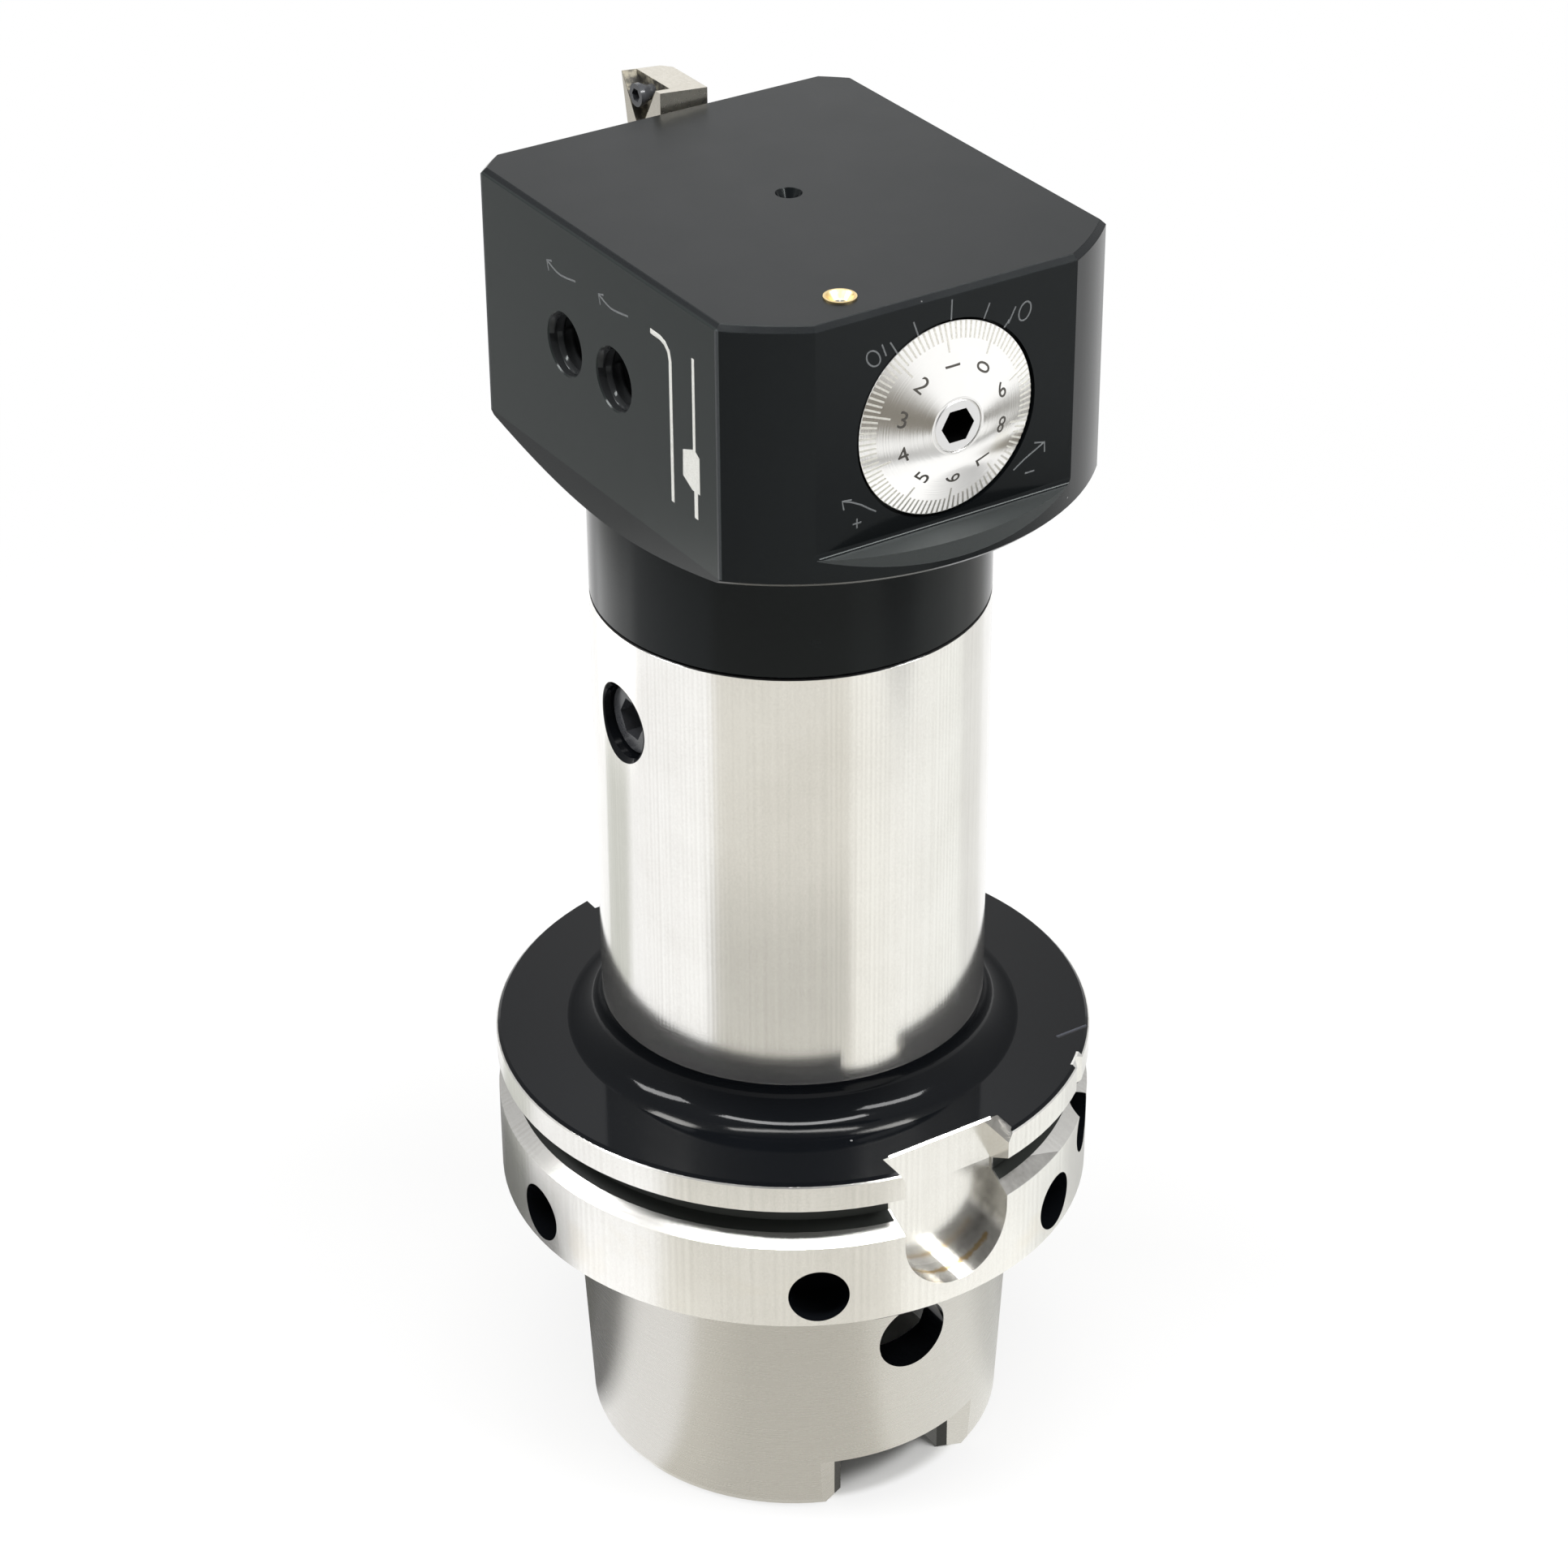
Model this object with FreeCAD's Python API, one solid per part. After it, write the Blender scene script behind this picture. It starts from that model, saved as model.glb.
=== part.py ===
import FreeCAD, Part
import math
import os

# Precision boring head on a hollow taper shank holder, all lengths in millimetres.
# Origin: spindle axis at the flange's gauge face. +Z points to the cutting end,
# +X to the cutting corner, -X to the setting dial, +Y to the locking screws.

V = FreeCAD.Vector
AX, AY, AZ = V(1, 0, 0), V(0, 1, 0), V(0, 0, 1)

# Holder: shank, flange and column
flange_r = 50.0
flange_h = 29.0
flange_chamfer = 0.7
taper_r_at_face = 38.0065
taper_ratio = 0.05
shank_len = 50.0
shank_end_chamfer = 1.4
column_r = 32.0
column_top_z = 111.0
column_fillet_r = 6.0
rim_chamfer = 0.5
column_edge = 0.15
groove_below_top = 9.0
groove_mouth_half = 3.75
groove_depth = 4.5
groove_flank_deg = 30.0

# Holder: clamping cavity in the shank
cavity_bore_r = 26.5
cavity_lead_in = 1.5
cavity_bore_len = 21.4
cavity_undercut_r = 31.5
cavity_shoulder_deg = 30.0
cavity_roof_z = -9.0
tube_thread_r = 11.25
tube_thread_len = 18.0
tube_relief_r = 12.4
tube_relief_h = 3.0
coolant_r = 5.0
access_hole_r = 6.5
access_hole_z = -16.1

# Holder: drive slots in the shank end, keyways, notch and round holes in the flange
drive_slot_half = 10.01
drive_slot_depth = 9.7
drive_slot_flat_x = 30.15
drive_slot_flare = 0.41
keyway_narrow_half = 10.01
keyway_narrow_depth = 6.0
keyway_wide_half = 11.01
keyway_wide_depth = 5.0
keyway_round_z = 14.0
keyway_lead_w = 1.2
keyway_lead_h = 2.1
keyway_edge_break = 0.4
notch_angle = -140.6
notch_depth = 1.0
notch_half_w = 1.75
chip_hole_r = 5.0
chip_hole_angle = -135.0
chip_hole_z = 12.65
collar_hole_r = 5.0
collar_hole_depth = 8.0
collar_hole_z = 6.6
collar_hole_angles = (90.0, 152.0, -152.0)

# Coupling between the holder and the head
spigot_r = 18.0
spigot_len = 44.0
spigot_clear = 0.02
spigot_chamfer = 1.0
socket_extra_depth = 2.0
clamp_below_top = 16.0
clamp_screw_r = 6.0
clamp_screw_sink = 2.2
clamp_screw_edge = 0.5
clamp_nose_r = 5.0
clamp_nose_len = 4.4
clamp_point_len = 3.8
clamp_tip_r = 2.2
clamp_hex_af = 6.0
clamp_hex_depth = 5.0
clamp_thread_gap = 0.3
mouth_chamfer = 0.2
cross_bore_r = 6.5
pin_clear = 0.03
pin_reach = 7.0
pin_sink = 5.0
pin_hole_extra = 0.6
o_ring_r = 1.0
o_ring_below_top = 40.0
o_ring_squeeze = 0.02
o_ring_groove_w = 2.4
o_ring_sides = 8
thread_clear = 0.03
press_clear = 0.02

# Head body: heights above the coupling face, flats as depths cut into the turned block
neck_r = 32.0
neck_h = 19.6
head_r = 48.15
head_h = 66.16
underside_rise = 5.1
underside_edge_r = 0.6
side_flat_cut = 14.05
tool_flat_cut = 10.25
dial_flat_cut = 5.75
ledge_above_neck = 9.4
ledge_fillet = 1.0
top_chamfer = 0.9
head_coolant_r = 4.0
head_coolant_below_neck = 8.6
outlet_r = 2.2
outlet_above_neck = 5.4
centre_drill_r = 2.1
centre_pilot_r = 0.8
centre_pilot_depth = 5.0
overcut = 1.0

# Tool carrier and its guide
axis_below_top = 20.26
carrier_r = 14.97
bore_clear = 0.03
dial_face_to_bore = 11.4
carrier_back_gap = 0.5
carrier_proud = 0.3
carrier_flat_cut = 1.77
carrier_travel = 26.0
key_x = 10.0
key_half = 3.0
key_clear = 0.03
key_tip_gap = 0.3
key_body_r = 5.0
key_shoulder = 2.0
key_shoulder_gap = 0.1
key_head_sink = 1.6
key_hex_af = 4.0
key_hex_depth = 4.0
slot_depth = 3.67
slot_end_gap = 1.0
wiper_groove_depth = 2.2
wiper_width = 3.0
wiper_inset = 1.6
wiper_gap = 0.08
wiper_side_gap = 0.05

# Adjusting spindle, bearing and dial
spindle_r = 5.0
spindle_tip_x = 14.0
spindle_end_room = 2.5
journal_r = 5.5
bulkhead_t = 3.0
bearing_r = 9.5
bearing_depth = 5.2
washer_t = 0.75
collar_t = 1.5
collar_side_gap = 0.7
stem_r = 4.2
stem_edge = 0.3
bearing_gap = 0.03
washer_edge_gap = 0.1
nut_bore_gap = 0.5
dial_r = 15.2
dial_side_gap = 0.5
dial_back_gap = 0.3
dial_rim_len = 2.6
dial_crown_r = 4.5
dial_proud = 2.8
dial_socket_af = 5.0
dial_socket_depth = 4.5
grub_r = 1.0
grub_len = 4.5
grub_end_gap = 0.02

# Locking screws on the +Y flat
lock_x = (9.6, -4.9)
lock_above_axis = 0.2
lock_r = 5.0
lock_sink = 6.4
lock_hex_af = 5.0
lock_hex_depth = 5.0
pad_r = 4.2
pad_t = 2.9
seat_gap = 0.03

# Oiler on the top face
oiler_from_dial_face = 6.8
oiler_y = 14.2
oiler_r = 2.5
oiler_depth = 8.0
oiler_rim_h = 0.25
oiler_chamber_r = 1.6
oiler_mouth_r = 1.15
oiler_lip = 0.9
oiler_rim_w = 0.4
oiler_floor_t = 1.0
oiler_foot_gap = 0.1
oiler_ball_r = 1.5
oil_drill_r = 1.0
oil_drill_from_bore_end = 2.0
oil_drill_end_rise = 13.5
spring_wire_r = 0.2
spring_coil_r = 1.15
spring_turns = 4
spring_end_gap = 0.05
spring_sides = 6

# Insert holder, its screws and the insert pocket: heights above the carrier axis
holder_base_t = 8.8
holder_base_half_y = 11.5
holder_base_low = 12.4
holder_base_high = 12.6
holder_corner_r = 3.0
holder_front_y = -0.6
holder_arm_t = 8.7
holder_top = 23.2
holder_top_slope = 0.8
holder_tip_reach = 11.8
holder_heel_reach = 10.3
holder_heel_height = 15.1
holder_tip_t = 7.0
holder_back_len = 10.3
cut_corner_reach = 12.0
cut_corner_height = 24.1
insert_edge = 11.0
insert_t = 3.18
pocket_clear = 0.05
holder_screw_r = 3.0
holder_screw_head_r = 4.9
holder_screw_head_h = 4.2
holder_screw_head_gap = 0.2
holder_screw_sink = 0.4
holder_screw_hex_af = 5.0
holder_screw_hex_depth = 2.6
holder_screw_len = 14.0
screw_hole_extra = 2.0
locating_pin_r = 2.0
locating_pin_height = 8.6
locating_pin_len = 10.0
locating_pin_end_gap = 0.3
locating_pin_clear = 0.01
insert_screw_r = 1.25
insert_screw_head_r = 1.9
insert_screw_len = 7.6
insert_screw_head_h = 1.5
insert_screw_rim_h = 0.75
insert_screw_hex_af = 2.0

# Places that follow from the sizes above
groove_centre_z = flange_h - groove_below_top
groove_floor_r = flange_r - groove_depth
cavity_neck_z = cavity_bore_len - shank_len
tube_thread_top_z = cavity_roof_z + tube_thread_len
keyway_narrow_floor_x = flange_r - keyway_narrow_depth
keyway_wide_floor_x = flange_r - keyway_wide_depth
clamp_z = column_top_z - clamp_below_top
clamp_nose_end_y = spigot_r - clamp_nose_len
clamp_tip_y = clamp_nose_end_y - clamp_point_len
pin_start_y = -(spigot_r + pin_reach)
pin_end_y = spigot_r - pin_sink
o_ring_z = column_top_z - o_ring_below_top
neck_top_z = column_top_z + neck_h
head_top_z = column_top_z + head_h
side_flat_y = head_r - side_flat_cut
tool_face_x = head_r - tool_flat_cut
dial_face_x = head_r - dial_flat_cut
ledge_z = neck_top_z + ledge_above_neck
head_coolant_top_z = neck_top_z - head_coolant_below_neck
outlet_z = neck_top_z + outlet_above_neck
axis_z = head_top_z - axis_below_top
guide_r = carrier_r + bore_clear
bore_back_x = dial_face_to_bore - dial_face_x
carrier_back_x = bore_back_x + carrier_back_gap
carrier_face_x = tool_face_x + carrier_proud
carrier_flat_y = carrier_r - carrier_flat_cut
slot_floor_y = slot_depth - carrier_r
key_tip_y = slot_floor_y - key_tip_gap
wiper_outer_r = guide_r + wiper_groove_depth
spindle_bore_end_x = spindle_tip_x + spindle_end_room
collar_r = bearing_r - collar_side_gap
dial_recess_r = dial_r + dial_side_gap
lock_z = axis_z + lock_above_axis
oiler_x = oiler_from_dial_face - dial_face_x
holder_base_low_z = axis_z - holder_base_low
holder_base_top_z = axis_z + holder_base_high
holder_back_y = holder_front_y - holder_arm_t
holder_top_z = axis_z + holder_top
holder_heel_z = axis_z + holder_heel_height
holder_tip_x = carrier_face_x + holder_tip_reach
holder_heel_x = carrier_face_x + holder_heel_reach
cut_corner_x = carrier_face_x + cut_corner_reach
cut_corner_z = axis_z + cut_corner_height
pocket_floor_y = -insert_t
locating_pin_z = axis_z + locating_pin_height


def cylinder(r, start, direction, length):
    return Part.makeCylinder(r, length, start, direction)


def cone(r_start, r_end, start, direction, length):
    return Part.makeCone(r_start, r_end, length, start, direction)


def box(low, high):
    size = high - low
    return Part.makeBox(size.x, size.y, size.z, low)


def polar(radius, angle_deg, z):
    angle = math.radians(angle_deg)
    return V(radius * math.cos(angle), radius * math.sin(angle), z)


def revolved(profile):
    """Solid of revolution about Z from (radius, z) points."""
    points = [V(r, 0, z) for r, z in profile]
    face = Part.Face(Part.makePolygon(points + points[:1]))
    return face.revolve(V(0, 0, 0), AZ, 360)


def prism_y(outline, y_low, y_high):
    """Straight prism along Y from an outline of (x, z) points."""
    points = [V(x, y_low, z) for x, z in outline]
    face = Part.Face(Part.makePolygon(points + points[:1]))
    return face.extrude(V(0, y_high - y_low, 0))


def prism_x(outline, x_start, x_end):
    """Straight prism along X from an outline of (y, z) points."""
    points = [V(x_start, y, z) for y, z in outline]
    face = Part.Face(Part.makePolygon(points + points[:1]))
    return face.extrude(V(x_end - x_start, 0, 0))


def prism_z(outline, z_low, z_high):
    """Straight prism along Z from an outline of (x, y) points."""
    points = [V(x, y, z_low) for x, y in outline]
    face = Part.Face(Part.makePolygon(points + points[:1]))
    return face.extrude(V(0, 0, z_high - z_low))


def hex_socket(across_flats, mouth, inward, depth):
    """Hexagon prism that starts at the mouth and runs inward."""
    radius = across_flats / math.sqrt(3)
    side = AZ if abs(inward.z) < 0.5 else AX
    other = inward.cross(side)
    points = []
    for k in range(6):
        angle = math.radians(60 * k + 30)
        points.append(mouth + side * (radius * math.cos(angle)) + other * (radius * math.sin(angle)))
    face = Part.Face(Part.makePolygon(points + points[:1]))
    return face.extrude(inward * depth)


def polygon_ring(sides, half_width, ring_r, centre):
    """Closed ring round Z with a regular polygon as its section, flat side inward."""
    corner_r = half_width / math.cos(math.pi / sides)
    points = []
    for k in range(sides):
        angle = math.pi * (2 * k + 1) / sides
        points.append(centre + V(ring_r + corner_r * math.cos(angle), 0, corner_r * math.sin(angle)))
    return Part.Face(Part.makePolygon(points + points[:1])).revolve(centre, AZ, 360)


def ring(r_inner, r_outer, start, direction, length):
    return cylinder(r_outer, start, direction, length).cut(cylinder(r_inner, start, direction, length))


# Holder

def holder_outside():
    """Shank, flange and column as one turned shape with a filleted column root."""
    end_r = taper_r_at_face - taper_ratio * shank_len
    groove_floor_half = groove_mouth_half - (flange_r - groove_floor_r) * math.tan(math.radians(groove_flank_deg))
    root_z = flange_h + column_fillet_r
    arc_mid = V(column_r + column_fillet_r * (1 - math.sin(math.pi / 4)), 0,
                root_z - column_fillet_r * math.cos(math.pi / 4))
    lower = [
        (0, -shank_len),
        (end_r - shank_end_chamfer / 2, -shank_len),
        (end_r + taper_ratio * shank_end_chamfer, -shank_len + shank_end_chamfer),
        (taper_r_at_face, 0),
        (flange_r - flange_chamfer, 0),
        (flange_r, flange_chamfer),
        (flange_r, groove_centre_z - groove_mouth_half),
        (groove_floor_r, groove_centre_z - groove_floor_half),
        (groove_floor_r, groove_centre_z + groove_floor_half),
        (flange_r, groove_centre_z + groove_mouth_half),
        (flange_r, flange_h - flange_chamfer),
        (flange_r - flange_chamfer, flange_h),
        (column_r + column_fillet_r, flange_h),
    ]
    upper = [
        (column_r, root_z),
        (column_r, column_top_z - column_edge),
        (column_r - column_edge, column_top_z),
        (0, column_top_z),
        (0, -shank_len),
    ]
    edges = Part.makePolygon([V(r, 0, z) for r, z in lower]).Edges
    edges.append(Part.Arc(V(lower[-1][0], 0, lower[-1][1]), arc_mid, V(column_r, 0, root_z)).toShape())
    edges += Part.makePolygon([V(r, 0, z) for r, z in upper]).Edges
    return Part.Face(Part.Wire(edges)).revolve(V(0, 0, 0), AZ, 360)


def shank_cavity():
    """Clamping cavity, coolant tube thread and coolant bore up to the coupling socket."""
    shoulder_h = (cavity_undercut_r - cavity_bore_r) / math.tan(math.radians(cavity_shoulder_deg))
    relief_z = tube_thread_top_z + tube_relief_h
    return revolved([
        (0, -shank_len),
        (cavity_bore_r + cavity_lead_in, -shank_len),
        (cavity_bore_r, -shank_len + cavity_lead_in),
        (cavity_bore_r, cavity_neck_z),
        (cavity_undercut_r, cavity_neck_z + shoulder_h),
        (cavity_undercut_r, cavity_roof_z),
        (tube_thread_r, cavity_roof_z),
        (tube_thread_r, tube_thread_top_z),
        (tube_relief_r, tube_thread_top_z),
        (tube_relief_r, relief_z),
        (coolant_r, relief_z + tube_relief_r - coolant_r),
        (coolant_r, column_top_z - spigot_len),
        (0, column_top_z - spigot_len),
    ])


def coupling_socket():
    bottom_z = column_top_z - spigot_len - socket_extra_depth
    socket = cylinder(spigot_r, V(0, 0, bottom_z), AZ, column_top_z - bottom_z)
    lead_in = cone(spigot_r, spigot_r + spigot_chamfer, V(0, 0, column_top_z - spigot_chamfer), AZ, spigot_chamfer)
    return socket.fuse(lead_in)


def drive_slot(side):
    """Slot across the shank end wall, flared where it leaves the taper."""
    reach = flange_r
    flare_half = drive_slot_half + (reach - drive_slot_flat_x) / drive_slot_flare
    outline = [
        (0, -drive_slot_half),
        (drive_slot_flat_x, -drive_slot_half),
        (reach, -flare_half),
        (reach, flare_half),
        (drive_slot_flat_x, drive_slot_half),
        (0, drive_slot_half),
    ]
    outline = [(side * x, y) for x, y in outline]
    return prism_z(outline, -shank_len, -shank_len + drive_slot_depth)


def flange_keyway(side, half, floor_x):
    """Open keyway in the flange with a round lower end, a sloped lead-in and a broken rear edge."""
    length = flange_r - floor_x + overcut
    low = V(min(side * floor_x, side * (floor_x + length)), -half, keyway_round_z)
    upper = box(low, low + V(length, 2 * half, flange_h - keyway_round_z))
    round_end = cylinder(half, V(side * floor_x, 0, keyway_round_z), AX * side, length)
    mouth_half = half + keyway_lead_w
    lead_in = prism_x([
        (-half, flange_h - keyway_lead_h),
        (half, flange_h - keyway_lead_h),
        (mouth_half, flange_h),
        (-mouth_half, flange_h),
    ], side * floor_x, side * (floor_x + length))
    rear_edge = prism_y([
        (side * floor_x, flange_h - keyway_edge_break),
        (side * (floor_x - keyway_edge_break), flange_h),
        (side * (floor_x + length), flange_h),
        (side * (floor_x + length), flange_h - keyway_edge_break),
    ], -half, half)
    return upper.fuse(round_end).fuse(lead_in).fuse(rear_edge)


def orientation_notch():
    """V notch through the rim above the groove."""
    growth = (notch_depth + overcut) / notch_depth
    wedge = prism_z([
        (flange_r - notch_depth, 0),
        (flange_r + overcut, -notch_half_w * growth),
        (flange_r + overcut, notch_half_w * growth),
    ], groove_centre_z, flange_h + overcut)
    wedge.rotate(V(0, 0, 0), AZ, notch_angle)
    return wedge


def chip_hole():
    """Round hole for a data chip; it runs into the groove."""
    start = polar(flange_r + overcut, chip_hole_angle, chip_hole_z)
    return cylinder(chip_hole_r, start, polar(-1, chip_hole_angle, 0), collar_hole_depth + overcut)


def collar_hole(angle):
    start = polar(flange_r + overcut, angle, collar_hole_z)
    return cylinder(collar_hole_r, start, polar(-1, angle, 0), collar_hole_depth + overcut)


def clamp_screw_hole():
    hole = cylinder(clamp_screw_r, V(0, 0, clamp_z), AY, column_r + overcut)
    mouth_y = column_r - clamp_screw_r ** 2 / (2 * column_r) - mouth_chamfer
    mouth_len = column_r + overcut - mouth_y
    mouth = cone(clamp_screw_r, clamp_screw_r + mouth_len, V(0, mouth_y, clamp_z), AY, mouth_len)
    return hole.fuse(mouth)


def drive_pin_hole():
    depth = -pin_start_y + pin_hole_extra
    return cylinder(cross_bore_r, V(0, 0, clamp_z), -AY, depth)


def make_holder_body():
    body = holder_outside()
    cuts = [shank_cavity(), coupling_socket(), clamp_screw_hole(), drive_pin_hole(), orientation_notch(),
            chip_hole()]
    cuts += [drive_slot(side) for side in (-1, 1)]
    cuts.append(flange_keyway(-1, keyway_narrow_half, keyway_narrow_floor_x))
    cuts.append(flange_keyway(1, keyway_wide_half, keyway_wide_floor_x))
    cuts += [collar_hole(angle) for angle in collar_hole_angles]
    for side in (-1, 1):
        cuts.append(cylinder(access_hole_r, V(side * cavity_bore_r, 0, access_hole_z), AX * side, flange_r))
    for tool in cuts:
        body = body.cut(tool)
    return body


# Coupling parts

def make_clamp_screw():
    """Socket set screw whose cone point seats in the drive pin."""
    r = clamp_screw_r - thread_clear
    head_y = column_r - clamp_screw_sink
    thread_start_y = spigot_r + clamp_thread_gap
    rim_y = head_y - clamp_screw_edge
    thread = cylinder(r, V(0, thread_start_y, clamp_z), AY, rim_y - thread_start_y)
    thread = thread.fuse(cone(r, r - clamp_screw_edge, V(0, rim_y, clamp_z), AY, clamp_screw_edge))
    nose = cylinder(clamp_nose_r, V(0, clamp_nose_end_y, clamp_z), AY, thread_start_y - clamp_nose_end_y)
    point = cone(clamp_tip_r, clamp_nose_r, V(0, clamp_tip_y, clamp_z), AY, clamp_nose_end_y - clamp_tip_y)
    socket = hex_socket(clamp_hex_af, V(0, head_y, clamp_z), -AY, clamp_hex_depth)
    return thread.fuse(nose).fuse(point).cut(socket)


def make_drive_pin():
    """Floating pin across the spigot with a cone seat for the clamp screw."""
    r = cross_bore_r - pin_clear
    pin = cylinder(r, V(0, pin_start_y, clamp_z), AY, pin_end_y - pin_start_y)
    slope = (clamp_nose_r - clamp_tip_r) / (clamp_nose_end_y - clamp_tip_y)
    seat_low_y = clamp_tip_y - 2 * seat_gap
    mouth_r = clamp_tip_r + slope * (pin_end_y - seat_low_y)
    seat = cone(clamp_tip_r, mouth_r, V(0, seat_low_y, clamp_z), AY, pin_end_y - seat_low_y)
    return pin.cut(seat)


def make_spigot_o_ring():
    return polygon_ring(o_ring_sides, o_ring_r - o_ring_squeeze, spigot_r - o_ring_r, V(0, 0, o_ring_z))


# Head body

def head_outside():
    """Turned spigot, neck and block, milled to four flats, with a ledge under the dial flat."""
    spigot_bottom_z = column_top_z - spigot_len
    r = spigot_r - spigot_clear
    turned = revolved([
        (0, spigot_bottom_z),
        (r - spigot_chamfer, spigot_bottom_z),
        (r, spigot_bottom_z + spigot_chamfer),
        (r, column_top_z),
        (neck_r - rim_chamfer, column_top_z),
        (neck_r, column_top_z + rim_chamfer),
        (neck_r, neck_top_z),
        (head_r - underside_edge_r, neck_top_z + underside_rise),
        (head_r, neck_top_z + underside_rise + underside_edge_r),
        (head_r, head_top_z),
        (0, head_top_z),
    ])
    reach = head_r + overcut
    low, high = neck_top_z - overcut, head_top_z + overcut
    turned = turned.cut(box(V(tool_face_x, -reach, low), V(reach, reach, high)))
    turned = turned.cut(box(V(-reach, side_flat_y, low), V(reach, reach, high)))
    turned = turned.cut(box(V(-reach, -reach, low), V(reach, -side_flat_y, high)))
    dial_cut = box(V(-reach, -reach, ledge_z), V(-dial_face_x, reach, high))
    inner = [e for e in dial_cut.Edges
             if all(abs(v.Point.x + dial_face_x) < 1e-6 and abs(v.Point.z - ledge_z) < 1e-6 for v in e.Vertexes)]
    return turned.cut(dial_cut.makeFillet(ledge_fillet, inner))


def chamfer_top(body):
    """Break the edges round the top face."""
    edges = [e for e in body.Edges if all(abs(v.Point.z - head_top_z) < 1e-6 for v in e.Vertexes)]
    return body.makeChamfer(top_chamfer, edges)


def centre_drill():
    depth = (centre_drill_r - centre_pilot_r) * math.sqrt(3)
    bevel = cone(centre_drill_r, centre_pilot_r, V(0, 0, head_top_z), -AZ, depth)
    return bevel.fuse(cylinder(centre_pilot_r, V(0, 0, head_top_z), -AZ, centre_pilot_depth))


def carrier_bore():
    """Stepped bore along X: carrier guide, bulkhead journal, bearing seat and dial recess."""
    bulkhead_x = bore_back_x - bulkhead_t
    recess_x = bulkhead_x - bearing_depth
    bore = cylinder(guide_r, V(bore_back_x, 0, axis_z), AX, tool_face_x - bore_back_x + overcut)
    bore = bore.fuse(cylinder(journal_r + bearing_gap, V(bulkhead_x, 0, axis_z), AX, bulkhead_t))
    bore = bore.fuse(cylinder(bearing_r, V(recess_x, 0, axis_z), AX, bearing_depth))
    mouth_x = -dial_face_x - overcut
    bore = bore.fuse(cylinder(dial_recess_r, V(mouth_x, 0, axis_z), AX, recess_x - mouth_x))
    groove_x = tool_face_x - wiper_inset - wiper_width
    return bore.fuse(cylinder(wiper_outer_r, V(groove_x, 0, axis_z), AX, wiper_width))


def lock_hole(x):
    hole = cylinder(lock_r, V(x, 0, lock_z), AY, side_flat_y + overcut)
    mouth_len = mouth_chamfer + overcut
    mouth = cone(lock_r, lock_r + mouth_len, V(x, side_flat_y - mouth_chamfer, lock_z), AY, mouth_len)
    return hole.fuse(mouth)


def key_hole():
    tip = cylinder(key_half + key_clear, V(key_x, 0, axis_z), -AY, side_flat_y)
    shoulder = V(key_x, -carrier_r - key_shoulder, axis_z)
    return tip.fuse(cylinder(key_body_r, shoulder, -AY, side_flat_y - carrier_r))


def head_coolant():
    """Coolant bore up the spigot and the outlet that leaves the tool face."""
    start_z = column_top_z - spigot_len
    rise = cylinder(head_coolant_r, V(0, 0, start_z), AZ, head_coolant_top_z - start_z)
    start = V(0, 0, head_coolant_top_z - head_coolant_r)
    end = V(tool_face_x, 0, outlet_z)
    path = end - start
    direction = V(path).normalize()
    return rise.fuse(cylinder(outlet_r, start, direction, path.Length + 3 * outlet_r))


def spigot_groove():
    centre_r = spigot_r - o_ring_r
    low = V(0, 0, o_ring_z - o_ring_groove_w / 2)
    return ring(centre_r - o_ring_r, spigot_r + overcut, low, AZ, o_ring_groove_w)


def oiler_hole():
    hole = cylinder(oiler_r, V(oiler_x, oiler_y, head_top_z), -AZ, oiler_depth)
    start = V(oiler_x, oiler_y, head_top_z - oiler_depth + oiler_r)
    end = V(bore_back_x + oil_drill_from_bore_end, 0, axis_z + oil_drill_end_rise)
    path = end - start
    return hole.fuse(cylinder(oil_drill_r, start, V(path).normalize(), path.Length))


def make_head_body():
    body = chamfer_top(head_outside())
    cuts = [centre_drill(), carrier_bore(), key_hole(), head_coolant(), spigot_groove(), oiler_hole()]
    cuts += [lock_hole(x) for x in lock_x]
    cuts.append(cylinder(cross_bore_r, V(0, -spigot_r - overcut, clamp_z), AY, 2 * (spigot_r + overcut)))
    for tool in cuts:
        body = body.cut(tool)
    return body


# Carrier, key and wiper

def make_tool_carrier():
    body = cylinder(carrier_r, V(carrier_back_x, 0, axis_z), AX, carrier_face_x - carrier_back_x)
    flat_low = V(carrier_back_x - overcut, carrier_flat_y, axis_z - carrier_r)
    flat_high = V(carrier_face_x - holder_base_t, carrier_r + overcut, axis_z + carrier_r)
    body = body.cut(box(flat_low, flat_high))
    slot_end_x = key_x + key_half + slot_end_gap
    slot_start_x = key_x - carrier_travel - key_half - slot_end_gap
    slot_half = key_half + key_clear
    slot_low = V(slot_start_x, -carrier_r - overcut, axis_z - slot_half)
    slot = box(slot_low, V(slot_end_x, slot_floor_y, axis_z + slot_half))
    body = body.cut(slot)
    body = body.cut(cylinder(spindle_r + thread_clear, V(carrier_back_x, 0, axis_z), AX,
                             spindle_bore_end_x - carrier_back_x))
    screw_depth = holder_screw_len - holder_thread_start() + screw_hole_extra
    body = body.cut(cylinder(holder_screw_r, V(carrier_face_x, 0, axis_z), -AX, screw_depth))
    return body.cut(locating_pin_hole())


def holder_thread_start():
    """Length of the holder screw that stays inside the holder base."""
    return holder_base_t - holder_screw_head_h - holder_screw_sink


def locating_pin_hole():
    """Blind hole for the locating pin, as deep in the holder as in the carrier."""
    half_len = locating_pin_len / 2 + locating_pin_end_gap
    return cylinder(locating_pin_r, V(carrier_face_x - half_len, 0, locating_pin_z), AX, 2 * half_len)


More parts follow.
